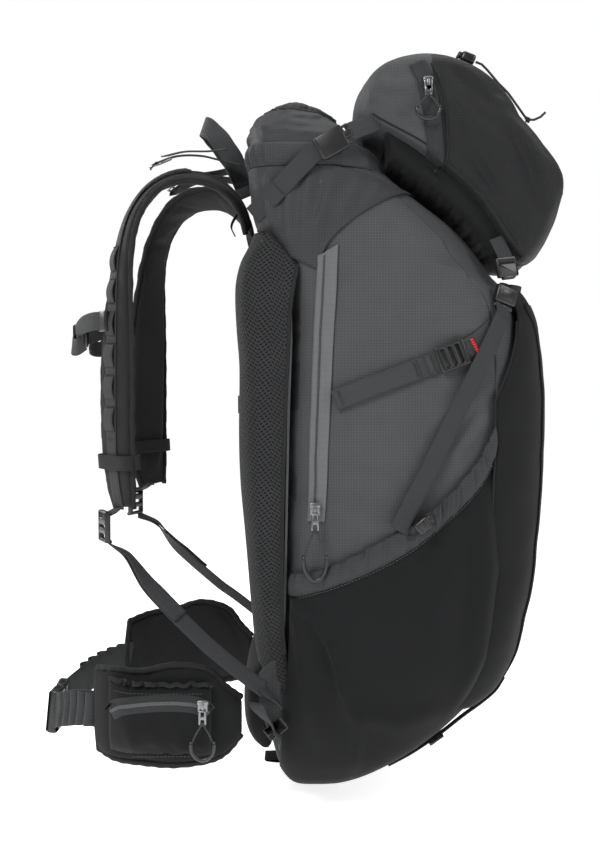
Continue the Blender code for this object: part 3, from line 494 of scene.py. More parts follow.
def sheetPiece(name, outer, finish, thick=0.0012, closed=False, turned=False):
    # A closed sheet under a grid of points on its outer face.
    rows, columns = len(outer), len(outer[0])
    inner = []
    for i in range(rows):
        up = [outer[max(i - 1, 0)], outer[min(i + 1, rows - 1)]]
        row = []
        for j in range(columns):
            if closed:
                before, after = outer[i][j - 1], outer[i][(j + 1) % columns]
            else:
                before, after = outer[i][max(j - 1, 0)], outer[i][min(j + 1, columns - 1)]
            normal = (after - before).cross(up[1][j] - up[0][j])
            normal = normal.normalized() if normal.length > 1e-12 else Vector((0, 0, 0))
            row.append(outer[i][j] + normal * (thick if turned else -thick))
        inner.append(row)
    points = [p for row in outer for p in row] + [p for row in inner for p in row]
    back = rows * columns
    faces = []
    span = columns if closed else columns - 1
    for i in range(rows - 1):
        for j in range(span):
            a, k = i * columns + j, i * columns + (j + 1) % columns
            faces.append((a, k, k + columns, a + columns))
            faces.append((back + a + columns, back + k + columns, back + k, back + a))
    if closed:
        for j in range(columns):
            k, high = (j + 1) % columns, (rows - 1) * columns
            faces.append((k, j, back + j, back + k))
            faces.append((high + j, high + k, back + high + k, back + high + j))
    else:
        edge = [(0, j) for j in range(columns)] + [(i, columns - 1) for i in range(1, rows)]
        edge += [(rows - 1, j) for j in range(columns - 2, -1, -1)] + [(i, 0) for i in range(rows - 2, 0, -1)]
        for k, (i, j) in enumerate(edge):
            m, n = edge[(k + 1) % len(edge)]
            a, b = i * columns + j, m * columns + n
            faces.append((b, a, back + a, back + b))
    weave = []
    down = [runs([row[j] for row in outer]) for j in range(columns)]
    for i, row in enumerate(outer):
        along = runs(row)
        weave += [(along[j], down[j][i]) for j in range(columns)]
    return meshPiece(name, points, faces, finish, weave + weave)


def loftPiece(name, rings, finish, closed=False, soft=True):
    size, count = len(rings[0]), len(rings)
    points = [p for ring in rings for p in ring]
    faces = []
    for i in range(count if closed else count - 1):
        a, b = i * size, (i + 1) % count * size
        for j in range(size):
            k = (j + 1) % size
            faces.append((a + j, a + k, b + k, b + j))
    if not closed:
        faces.append(tuple(range(size)))
        faces.append(tuple((count - 1) * size + j for j in range(size)))
    middles = runs([sum(ring, Vector()) / size for ring in rings])
    around = runs(list(rings[0]))
    weave = [(around[j], middles[i]) for i in range(count) for j in range(size)]
    return meshPiece(name, points, faces, finish, weave, soft)


def tube(name, path, radius, finish, closed=False, around=8, radii=None):
    # A round cord or wire through points.
    last = len(path) - 1
    rings, side = [], None
    for i, p in enumerate(path):
        if closed:
            ahead = (path[(i + 1) % len(path)] - path[i - 1]).normalized()
        else:
            ahead = (path[min(i + 1, last)] - path[max(i - 1, 0)]).normalized()
        if side is None:
            side = ahead.orthogonal().normalized()
        side = (side - ahead * side.dot(ahead)).normalized()
        other = ahead.cross(side)
        r = radii[i] if radii else radius
        turns = [math.tau * k / around for k in range(around)]
        rings.append([p + (side * math.cos(a) + other * math.sin(a)) * r for a in turns])
    return loftPiece(name, rings, finish, closed)


bandShape = [(-1, 0.35), (-0.94, 1), (-0.5, 1), (0, 1), (0.5, 1), (0.94, 1), (1, 0.35),
             (1, -0.35), (0.94, -1), (0.5, -1), (0, -1), (-0.5, -1), (-0.94, -1), (-1, -0.35)]


def band(name, path, across, width, thick, finish, widths=None, thicks=None):
    # Webbing along a path; across points along its width, one for all or one for each place.
    last = len(path) - 1
    rings = []
    for i, centre in enumerate(path):
        ahead = (path[min(i + 1, last)] - path[max(i - 1, 0)]).normalized()
        wide = across[i] if isinstance(across, list) else Vector(across)
        wide = (wide - ahead * wide.dot(ahead)).normalized()
        up = ahead.cross(wide)
        w = (widths[i] if widths else width) / 2
        t = (thicks[i] if thicks else thick) / 2
        rings.append([centre + wide * (u * w) + up * (v * t) for u, v in bandShape])
    obj = loftPiece(name, rings, finish)
    layer = obj.data.uv_layers["weave"]
    size = len(bandShape)
    for loop in obj.data.loops:
        u = bandShape[loop.vertex_index % size][0]
        layer.data[loop.index].uv[0] = (u + 1) * width / 2
    return obj


def block(name, centre, axes, size, finish, round=0.0012, steps=2, cuts=()):
    # A moulded block with rounded edges. Each cut is (middle, size) of an opening right through
    # its third axis, in its own axes.
    work = bmesh.new()
    bmesh.ops.create_cube(work, size=1.0)
    bmesh.ops.scale(work, vec=size, verts=work.verts)
    mesh = bpy.data.meshes.new(name)
    if cuts:
        work.free()
        xs = sorted({-size[0] / 2, size[0] / 2, *[c[0][0] + s * c[1][0] / 2 for c in cuts for s in (-1, 1)]})
        ys = sorted({-size[1] / 2, size[1] / 2, *[c[0][1] + s * c[1][1] / 2 for c in cuts for s in (-1, 1)]})

        def solid(i, j):
            if not (0 <= i < len(xs) - 1 and 0 <= j < len(ys) - 1):
                return False
            x, y = (xs[i] + xs[i + 1]) / 2, (ys[j] + ys[j + 1]) / 2
            return not any(abs(x - m[0]) < s[0] / 2 and abs(y - m[1]) < s[1] / 2 for m, s in cuts)

        points = [Vector((x, y, w * size[2] / 2)) for w in (-1, 1) for x in xs for y in ys]
        n, back, faces = len(ys), len(xs) * len(ys), []
        for i in range(len(xs) - 1):
            for j in range(len(ys) - 1):
                if not solid(i, j):
                    continue
                quad = (i * n + j, i * n + n + j, i * n + n + j + 1, i * n + j + 1)
                faces += [quad, tuple(back + k for k in reversed(quad))]
                for k, near in enumerate(((i, j - 1), (i + 1, j), (i, j + 1), (i - 1, j))):
                    if not solid(*near):
                        a, b = quad[k], quad[(k + 1) % 4]
                        faces.append((b, a, back + a, back + b))
        mesh.from_pydata(points, [], faces)
        work = bmesh.new()
        work.from_mesh(mesh)
        loose = [v for v in work.verts if not v.link_faces]
        bmesh.ops.delete(work, geom=loose, context="VERTS")
        bmesh.ops.recalc_face_normals(work, faces=work.faces)
        bmesh.ops.dissolve_limit(work, angle_limit=0.01, verts=work.verts, edges=work.edges)
    sharp = [e for e in work.edges if e.calc_face_angle(0) > 0.5]
    bmesh.ops.bevel(work, geom=sharp, offset=round, segments=steps, affect="EDGES", profile=0.5)
    x, y, z = (Vector(a).normalized() for a in axes)
    for v in work.verts:
        v.co = centre + x * v.co.x + y * v.co.y + z * v.co.z
    bmesh.ops.recalc_face_normals(work, faces=work.faces)
    work.to_mesh(mesh)
    work.free()
    mesh.shade_smooth()
    mesh.set_sharp_from_angle(angle=math.radians(50))
    mesh.materials.append(finishes[finish])
    obj = bpy.data.objects.new(name, mesh)
    bpy.context.scene.collection.objects.link(obj)
    return obj


def joined(name, parts):
    # Several meshes as one piece.
    bpy.ops.object.select_all(action="DESELECT")
    for part in parts:
        part.select_set(True)
    bpy.context.view_layer.objects.active = parts[0]
    bpy.ops.object.join()
    parts[0].name = name
    parts[0].data.name = name
    return parts[0]


def stitches(name, path, normals, finish="thread", length=0.0028, gap=0.0013, size=0.00055):
    # A run of thread along a path: small rounded bars, sunk half into the cloth.
    reach = runs(path)
    points, faces = [], []
    at = gap
    i = 0
    while at + length < reach[-1]:
        ends = []
        for where in (at, at + length / 2, at + length):
            while i < len(path) - 2 and reach[i + 1] < where:
                i += 1
            share = (where - reach[i]) / max(reach[i + 1] - reach[i], 1e-9)
            ends.append((path[i].lerp(path[i + 1], share), normals[i] if isinstance(normals,
                    list) else normals))
        ahead = (ends[2][0] - ends[0][0]).normalized()
        start = len(points)
        for k, (p, normal) in enumerate(ends):
            wide = ahead.cross(normal).normalized() * size / 2
            rise = normal * (size * (0.9 if k == 1 else 0.1))
            points += [p + wide, p + wide * 0.5 + rise, p - wide * 0.5 + rise, p - wide,
                       p - normal * size * 0.6]
        for k in (0, 5):
            for j in range(5):
                n = (j + 1) % 5
                faces.append((start + k + j, start + k + n, start + k + 5 + n, start + k + 5 + j))
        faces.append(tuple(start + j for j in range(5)))
        faces.append(tuple(start + 10 + j for j in range(5)))
        at += length + gap
    return meshPiece(name, points, faces, finish)


# ---- cloth ----
clothwork = {"voxel": 0.005, "frames": 20, "pressure": 4.0}


def swell(obj, cap, voxel=None, pressure=None, still=None):
    # Fills a closed form like a stuffed cover: remesh, blow up as cloth, keep within a cap.
    remesh = obj.modifiers.new("remesh", "REMESH")
    remesh.mode = "VOXEL"
    remesh.voxel_size = voxel or clothwork["voxel"]
    remesh.use_smooth_shade = True
    bpy.context.view_layer.objects.active = obj
    bpy.ops.object.modifier_apply(modifier=remesh.name)
    start = [v.co.copy() for v in obj.data.vertices]
    if still:
        group = obj.vertex_groups.new(name="held")
        for v in obj.data.vertices:
            if still(v.co):
                group.add([v.index], 1.0, "REPLACE")
    cloth = obj.modifiers.new("fill", "CLOTH")
    cloth.settings.quality = 4
    cloth.settings.mass = 0.2
    cloth.settings.use_pressure = True
    cloth.settings.uniform_pressure_force = pressure or clothwork["pressure"]
    cloth.settings.effector_weights.gravity = 0.0
    cloth.settings.tension_stiffness = 12
    cloth.settings.compression_stiffness = 12
    cloth.settings.bending_stiffness = 0.4
    cloth.collision_settings.use_collision = False
    if still:
        cloth.settings.vertex_group_mass = "held"
    cloth.point_cache.frame_start = 1
    cloth.point_cache.frame_end = clothwork["frames"]
    scene = bpy.context.scene
    for step in range(1, clothwork["frames"] + 1):
        scene.frame_set(step)
    shaped = obj.evaluated_get(bpy.context.evaluated_depsgraph_get()).to_mesh()
    moved = [v.co.copy() for v in shaped.vertices]
    obj.modifiers.remove(cloth)
    for v, a, b in zip(obj.data.vertices, start, moved):
        step = b - a
        if step.length > cap:
            step *= cap / step.length
        v.co = a + step
    scene.frame_set(1)
    refine(obj)
    return obj


def refine(obj, levels=1):
    divide = obj.modifiers.new("divide", "SUBSURF")
    divide.levels = levels
    divide.render_levels = levels
    bpy.context.view_layer.objects.active = obj
    bpy.ops.object.modifier_apply(modifier=divide.name)
    obj.data.shade_smooth()


# ---- the bag's skin ----
skinShape = {
    "levels": [  # height, back, front, half width
        (0.000, 0.000, 0.030, 0.060), (0.012, -0.013, 0.065, 0.098), (0.030, -0.023, 0.105, 0.116),
        (0.060, -0.030, 0.150, 0.130), (0.100, -0.029, 0.192, 0.140), (0.150, -0.022, 0.219, 0.147),
        (0.200, -0.019, 0.232, 0.151), (0.300, -0.017, 0.243, 0.153), (0.400, -0.015, 0.246, 0.153),
        (0.480, -0.012, 0.241, 0.150), (0.530, -0.013, 0.225, 0.146), (0.548, -0.016, 0.207, 0.144),
        (0.585, -0.034, 0.178, 0.139), (0.605, -0.045, 0.158, 0.135), (0.630, -0.051, 0.125, 0.130),
        (0.655, -0.053, 0.095, 0.125), (0.690, -0.055, 0.070, 0.121),
    ],
    "backPower": 6.0, "frontPower": 3.2,
}


def section(z):
    back, front, half = smooth(skinShape["levels"], z)
    return (back + front) / 2, (front - back) / 2, half


def skin(angle, z, out=0.0):
    # A place on the skin; angle 0 is the front and half a turn is the back.
    middle, depth, half = section(z)
    power = skinShape["frontPower"] if math.cos(angle) > 0 else skinShape["backPower"]
    c = math.copysign(abs(math.cos(angle)) ** (2 / power), math.cos(angle))
    s = math.copysign(abs(math.sin(angle)) ** (2 / power), math.sin(angle))
    return Vector((middle + (depth + out) * c, (half + out) * s, z))


def angleAt(x, z):
    middle, depth = section(z)[:2]
    power = skinShape["frontPower"] if x > middle else skinShape["backPower"]
    share = min(abs(x - middle) / depth, 1.0) ** (power / 2)
    return math.acos(share if x > middle else -share)


def bump3(x, y, z, scale):
    return noise.noise(Vector((x, y, z)) * scale)


# Creases in the side walls: start, end, half width, rise. Depth position and height.
sideCreases = [
    ((0.172, 0.548), (0.130, 0.556), 0.006, 0.0022), ((0.182, 0.520), (0.120, 0.506), 0.008, 0.0026),
    ((0.185, 0.497), (0.140, 0.486), 0.006, 0.0022), ((0.160, 0.590), (0.110, 0.575), 0.010, 0.0020),
    ((0.186, 0.430), (0.130, 0.395), 0.010, 0.0028), ((0.188, 0.405), (0.150, 0.360), 0.007, 0.0024),
    ((0.050, 0.560), (0.095, 0.600), 0.010, 0.0016), ((0.045, 0.330), (0.085, 0.285), 0.006, 0.0018),
    ((0.048, 0.350), (0.110, 0.325), 0.008, 0.0014), ((0.100, 0.372), (0.135, 0.330), 0.007, 0.0016),
    ((-0.030, 0.652), (-0.026, 0.590), 0.006, 0.0030), ((-0.008, 0.654), (-0.010, 0.585), 0.006, 0.0026),
    ((0.012, 0.655), (0.006, 0.590), 0.007, 0.0032), ((0.034, 0.652), (0.018, 0.585), 0.006, 0.0028),
    ((0.060, 0.648), (0.040, 0.600), 0.006, 0.0024), ((0.082, 0.642), (0.064, 0.615), 0.005, 0.0022),
    ((-0.044, 0.640), (-0.020, 0.600), 0.005, 0.0020), ((0.046, 0.628), (0.000, 0.575), 0.009, 0.0020),
]


def sideRise(x, z, side=-1.0):
    rise = 0.0
    p = Vector((x, z))
    for start, end, wide, high in sideCreases:
        a, b = Vector(start), Vector(end)
        line = b - a
        share = min(max((p - a).dot(line) / line.length_squared, 0.0), 1.0)
        away = (p - a - line * share).length
        if away < 4 * wide:
            ends = min(1.0, 4.5 * min(share + 0.06, 1.06 - share))
            rise += 1.35 * high * ends * math.exp(-(away / wide) ** 2)
    rise += 0.0016 * bump3(x, side * 0.3, z, 17) + 0.0007 * bump3(x, side * 0.7, z, 48)
    return rise


def onSide(side, x, z, out, rises=1.0):
    # A place on one side wall, creases included.
    if rises:
        out += rises * sideRise(x, z, side)
    p = skin(angleAt(x, z), z, out)
    return atBag(p.x, side * p.y, p.z)


def ruled(name, side, lower, upper, size, out, finish, thick=0.001, rises=1.0, extra=None):
    # Cloth on a side wall between two lines of (depth position, height).
    columns, rows = size
    low = spread([(x, z, 0) for x, z in lower], columns)
    high = spread([(x, z, 0) for x, z in upper], columns)
    grid = []
    for i in range(rows):
        row = []
        for j in range(columns):
            p = low[j].lerp(high[j], i / (rows - 1))
            lift = extra(p.x, p.y, j / (columns - 1), i / (rows - 1)) if extra else 0.0
            row.append(onSide(side, p.x, p.y, out + lift, rises))
        grid.append(row)
    return sheetPiece(name, grid, finish, thick, turned=side > 0)


def sidePath(side, line, count, out, rises=1.0):
    # Points along a line on a side wall, with the wall's outward direction at each.
    flat = spread([(x, z, 0) for x, z in line], count)
    path = [onSide(side, p.x, p.y, out, rises) for p in flat]
    normals = []
    for p in flat:
        step = 0.003
        a = onSide(side, p.x + step, p.y, out, 0) - onSide(side, p.x - step, p.y, out, 0)
        b = onSide(side, p.x, p.y + step, out, 0) - onSide(side, p.x, p.y - step, out, 0)
        normal = a.cross(b).normalized()
        normals.append(normal if normal.y * side > 0 else -normal)
    return path, normals


# ---- bag body ----
seamLines = {
    "mesh": [(-0.004, 0.556), (-0.011, 0.514), (-0.013, 0.475), (-0.016, 0.412), (-0.019, 0.320),
             (-0.020, 0.220), (-0.019, 0.180), (-0.016, 0.150)],
    "upperBack": [(-0.0520, 0.5780), (-0.0379, 0.5736), (-0.0249, 0.5687), (0.0, 0.5600), (0.0180, 0.5518)],
    "upperFront": [(0.0180, 0.5518), (0.0214, 0.5580), (0.0239, 0.5674), (0.0338, 0.5832), (0.0616, 0.6079),
                   (0.1003, 0.6295), (0.1230, 0.6340)],
    "rimFoot": [(-0.0520, 0.6560), (-0.0100, 0.6560), (0.0290, 0.6565), (0.0620, 0.6500), (0.1000, 0.6365),
                (0.1240, 0.6350)],
    "zip": [(0.0160, 0.3100), (0.0165, 0.3300), (0.0190, 0.4200), (0.0222, 0.5000), (0.0250, 0.5640)],
}


def makeWalls():
    print("walls")
    rows = 128
    for word, side in sides.items():
        grid = []
        for i in range(rows):
            z = 0.050 + (0.6550 - 0.050) * i / (rows - 1)
            start = angleAt(section(z)[0] - section(z)[1] + 0.0025, z)
            end = math.radians(60)
            row = []
            for j in range(66):
                a = start + (end - start) * j / 65
                p = skin(a, z)
                q = skin(a, z, -0.0004 + sideRise(p.x, z, side))
                row.append(atBag(q.x, side * q.y, q.z))
            grid.append(row)
        wall = sheetPiece("mainPanel_" + word, grid, "ripstop", 0.0011, turned=side > 0)
        wear(wall, "bag", "ripstop", "side_panel_" + word)
        lower = seamLines["upperBack"] + seamLines["upperFront"][1:]
        upper = seamLines["rimFoot"]

        def hem(x, z, u, v):
            return 0.0007 * math.exp(-((v - 0.03) / 0.03) ** 2)

        top = ruled("upperPanel_" + word, side, lower, upper, (90, 44), 0.0022, "ripstopDark",
                    0.0009, extra=hem)
        wear(top, "bag", "ripstop_dark")
        for line, out in ((seamLines["upperBack"], 0.0014), (seamLines["upperFront"], 0.0014)):
            raised = [(x, z + 0.0035) if line is seamLines["upperBack"] else (x - 0.0030, z + 0.0020)
                      for x, z in line]
            path, normals = sidePath(side, raised, 60, out)
            wear(stitches(f"upperStitch_{len(bpy.data.objects)}", path, normals, "darkThread"), "bag", "cord")
    grid = []
    for i in range(80):
        z = 0.086 + (0.655 - 0.086) * i / 79
        row = []
        for j in range(61):
            a = math.radians(-61 + 122 * j / 60)
            p = skin(a, z)
            crush = 0.003 * bump3(p.x, p.y, z, 11) * min(1.0, max(0.0, (z - 0.50) / 0.05))
            q = skin(a, z, -0.0004 + 0.0012 * bump3(p.x, p.y, z, 22) + crush)
            row.append(atBag(q.x, q.y, q.z))
        grid.append(row)
    wear(sheetPiece("frontWall", grid, "ripstop", 0.0011, turned=False), "bag", "ripstop_dark", "front_panel")
    grid = []
    for i in range(60):
        z = 0.094 + (0.6548 - 0.094) * i / 59
        row = []
        for j in range(41):
            a = math.radians(136.5 + 87 * j / 40)
            q = skin(a, z, -0.0006)
            row.append(atBag(q.x, q.y, q.z))
        grid.append(row)
    wear(sheetPiece("backWall", grid, "ripstopDark", 0.0011), "bag", "ripstop", "back_panel")


def makeBase():
    print("base")
    angles = [math.tau * i / 144 for i in range(144)]
    outer = []
    levels = [0.0002, 0.003, 0.007, 0.012, 0.018, 0.025, 0.033, 0.042, 0.052, 0.063, 0.075, 0.086, 0.0915]
    for z in levels:
        ring = []
        for a in angles:
            p = skin(a, z)
            rise = 0.0016 * bump3(p.x, p.y, z, 18) * min(1.0, z / 0.02)
            rise += 0.0018 * math.sin(a * 17 + 3 * math.sin(a * 2)) * math.exp(-((z - 0.05) / 0.022) ** 2)
            q = skin(a, z, rise - 0.0004)
            ring.append(atBag(q.x, q.y, q.z))
        outer.append(ring)
    centre = atBag(0.015, 0, 0.0002)
    disc = [[centre.lerp(p, k / 6) for p in outer[0]] for k in (1, 3, 5)]
    base = sheetPiece("baseShell", disc + outer, "ripstopDark", 0.0014, closed=True)
    cap = [centre.lerp(p, 1 / 5.8) for p in outer[0]]
    lid = loftPiece("baseMiddle", [[p + Vector((0, 0, h)) for p in cap] for h in (0.0, 0.0012)],
                    "ripstopDark")
    wear(joined("baseShell", [base, lid]), "bag", "ripstop_dark", "base_panel")
    # Small grey pull tab at each lower side, and the flat grab tab behind the base.
    for word, side in sides.items():
        path = [onSide(side, 0.052 + 0.0015 * k, 0.024 + 0.0075 * k, 0.0030, 0) for k in range(5)]
        wear(band(f"baseTab_{word}", path, (1, 0, -0.2), 0.005, 0.0016, "plainWebbing"), "bag", "webbing")
    path = spread([atBag(-0.004, 0, 0.0105), atBag(-0.016, 0, 0.0108), atBag(-0.028, 0, 0.0105), atBag(-0.040,
            0, 0.0100)], 9)
    tab = band("baseGrabTab", path, (0, 1, 0), 0.030, 0.0018, "darkWebbing")
    path = spread([atBag(-0.039, 0, 0.0085), atBag(-0.028, 0, 0.0070), atBag(-0.016, 0, 0.0070), atBag(-0.006,
            0, 0.0085)], 9)
    under = band("baseGrabUnder", path, (0, 1, 0), 0.030, 0.0014, "darkWebbing")
    wear(joined("baseGrabTab", [tab, under]), "bag", "webbing")


def makeRim():
    print("rim and collar")
    angles = [math.tau * i / 160 for i in range(160)]
    outer = []
    count = 15
    for i in range(count):
        t = i / (count - 1)
        ring = []
        for a in angles:
            forward = 0.5 + 0.5 * math.cos(a)
            z = 0.6555 + (0.6805 - 0.6555) * t
            drop = 0.022 * max(0.0, forward - 0.55) ** 1.5 * (1 - t)
            p = skin(a, z)
            puff = 0.0042 * math.sin(math.pi * t) ** 0.8
            puff += 0.0012 * math.sin(a * 23 + 2 * math.sin(3 * a)) * math.sin(math.pi * t)
            puff += 0.0018 * bump3(p.x, p.y, z, 30)
            q = skin(a, z, 0.0004 + puff)
            ring.append(atBag(q.x, q.y, q.z - drop))
        outer.append(ring)
    wear(sheetPiece("rimBand", outer, "ripstopDark", 0.0016, closed=True), "bag", "ripstop_dark", "rim_band")
    collar = [  # middle, half depth, half width, roundness, height at the back and at the front
        (0.0, 0.0085, 0.0600, 0.1205, 4.5, 0.6800, 0.6800), (0.35, 0.001, 0.058, 0.112, 3.4, 0.698, 0.695),
        (0.70, -0.003, 0.047, 0.094, 2.4, 0.717, 0.711), (1.0, 0.005, 0.031, 0.076, 2.0, 0.735, 0.722),
    ]
    outer = []
    for i in range(34):
        t = i / 33
        middle, depth, half, power, back, front = smooth(collar, t)
        ring = []
        for a in angles:
            forward = 0.5 + 0.5 * math.cos(a)
            c = math.copysign(abs(math.cos(a)) ** (2 / power), math.cos(a))
            s = math.copysign(abs(math.sin(a)) ** (2 / power), math.sin(a))
            gather = 0.0011 * math.sin(a * 17 + 3.2 * math.sin(a * 3)) + 0.0004 * math.sin(a * 37)
            gather *= t ** 1.6
            crush = 0.0052 * bump3(c, s, t * 2.2, 2.9) * (0.3 + t)
            hem = -0.0014 * math.exp(-((t - 0.86) / 0.03) ** 2) + 0.0010 * math.exp(-((t - 0.94) / 0.05) ** 2)
            out = gather + crush + hem
            x = middle + (depth + out) * c
            y = (half + out) * s
            z = back + (front - back) * forward + 0.0018 * bump3(c, s, t, 3.1) * t
            ring.append(atBag(x, y, z))
        outer.append(ring)
    wear(sheetPiece("collarCloth", outer, "ripstopDark", 0.0010, closed=True), "bag", "ripstop_dark",
         "collar")
    # Drawcord in the collar's hem.
    path = [p + (p - atBag(0.005, 0, 0.70)).normalized() * 0.0003 for p in outer[28]]
    wear(tube("collarDrawcord", path[::2], 0.0013, "cord", closed=True), "bag", "cord")


# Outer face of the padding on the back, in the middle: height, depth position.
backFace = [(0.120, -0.0300), (0.135, -0.0380), (0.150, -0.0450), (0.200, -0.0515), (0.288, -0.0590),
            (0.364, -0.0632), (0.450, -0.0636), (0.493, -0.0668), (0.535, -0.0672), (0.560, -0.0620),
            (0.578, -0.0530), (0.590, -0.0480)]


def makeBackPadding():
    print("back padding")
    outer = []
    rows, columns = 100, 97
    for i in range(rows):
        z = 0.118 + (0.590 - 0.118) * i / (rows - 1)
        face = smooth(backFace, z)[0]
        seam = smooth([(p[1], p[0]) for p in reversed(seamLines["mesh"])], z)[0] if z < 0.556 else -0.004
        seam = seam - 0.030 * min(max((z - 0.556) / 0.034, 0.0), 1.0)
        half = section(z)[2]
        full = min(1.0, (z - 0.118) / 0.03)
        profile = [Vector((seam + 0.0035, half * 0.925, 0)), Vector((seam, half * 0.955, 0)),
                   Vector((seam - 0.010, half * 0.968, 0)),
                   Vector((face + 0.014, half * 0.940, 0)), Vector((face + 0.0035, half * 0.82, 0)),
                   Vector((face, half * 0.62, 0)), Vector((face + 0.0005, half * 0.40, 0)),
                   Vector((face + 0.0065, half * 0.16, 0)), Vector((face + 0.0080, 0, 0))]
        halfRow = spread(profile, 49)
        row = []
        for k, p in enumerate(halfRow):
            soft = min(1.0, k / 6)
            lump = 0.0012 * bump3(p.x, p.y, z, 14) * soft * full
            row.append((p.x - lump, p.y + lump * 0.5, z))
        line = [atBag(x, -y, h) for x, y, h in row] + [atBag(x, y, h) for x, y, h in reversed(row[:-1])]
        outer.append(line)
    pad = sheetPiece("backMesh", outer, "airMesh", 0.0018, turned=True)
    wear(pad, "bag", "mesh", "back_pad")
    for word, side in sides.items():
        j = 1 if side < 0 else columns - 2
        path = [row[j] for row in outer[9:93]]
        normals = [Vector((0, side, 0))] * len(path)
        path = [p + Vector((0, side * 0.0006, 0)) for p in path]
        wear(band(f"meshSeam_{word}", path, (1, 0, 0), 0.0042, 0.0012, "darkWebbing"), "bag", "webbing")
        raised = [p + Vector((-0.0036, side * 0.0010, 0)) for p in path]
        wear(stitches(f"meshStitch_{word}", raised, normals, "darkThread", 0.003, 0.0014, 0.0008), "bag",
             "cord")
    # Low-profile clip on the back, for the sternum height ladder's spare end.
    clip = block("backClip", atBag(-0.0650, -0.030, 0.412), ((0, 0, 1), (0, 1, 0), (1, 0, 0)),
                 (0.020, 0.010, 0.006), "plastic")
    wear(clip, "bag", "plastic")


# ---- pockets on the body ----
sidePocket = {
    "hemSeam": [(-0.006, 0.2180), (0.0110, 0.2235), (0.0398, 0.2334), (0.0826, 0.2524), (0.1163, 0.2730),
                (0.1450, 0.2980), (0.1700, 0.3220), (0.1873, 0.3470), (0.1945, 0.3680)],
    "hemTop": [(-0.004, 0.2440), (0.0150, 0.2475), (0.0450, 0.2590), (0.0800, 0.2780), (0.1120, 0.2965),
               (0.1400, 0.3190), (0.1640, 0.3450), (0.1800, 0.3680), (0.1925, 0.3950)],
    "foot": [(-0.0200, 0.0240), (-0.0050, 0.0100), (0.0200, 0.0070), (0.0500, 0.0150), (0.0850, 0.0300),
             (0.1250, 0.0540), (0.1600, 0.0830), (0.1880, 0.1150), (0.2040, 0.1500)],
    "folds": [  # a line, half width, rise
        ([(-0.004, 0.220), (0.016, 0.200), (0.034, 0.172), (0.046, 0.138), (0.053, 0.100)], 0.0048, 0.0042),
        ([(-0.002, 0.216), (0.006, 0.180), (0.014, 0.130), (0.020, 0.075)], 0.0085, 0.0032),
        ([(0.006, 0.214), (0.028, 0.176), (0.040, 0.140)], 0.0060, -0.0030),
        ([(0.062, 0.105), (0.060, 0.070), (0.052, 0.030)], 0.0060, 0.0032),
        ([(0.180, 0.330), (0.184, 0.250), (0.176, 0.160), (0.150, 0.098)], 0.0100, 0.0034),
        ([(0.165, 0.305), (0.168, 0.240), (0.158, 0.170)], 0.0080, -0.0024),
        ([(0.120, 0.270), (0.136, 0.236), (0.142, 0.200)], 0.0080, 0.0018),
        ([(0.090, 0.250), (0.100, 0.222), (0.104, 0.190)], 0.0070, 0.0014),
        ([(0.060, 0.100), (0.100, 0.090), (0.140, 0.105)], 0.0120, 0.0026),
    ],
}


def lineRise(x, z, folds):
    rise = 0.0
    p = Vector((x, z))
    for line, wide, high in folds:
        best = 1.0
        share = 0.0
        for i in range(len(line) - 1):
            a, b = Vector(line[i]), Vector(line[i + 1])
            t = min(max((p - a).dot(b - a) / (b - a).length_squared, 0.0), 1.0)
            away = (p - a - (b - a) * t).length
            if away < best:
                best, share = away, (i + t) / (len(line) - 1)
        if best < 3.5 * wide:
            ends = min(1.0, 4 * min(share + 0.08, 1.08 - share))
            rise += high * ends * math.exp(-(best / wide) ** 2)
    return rise


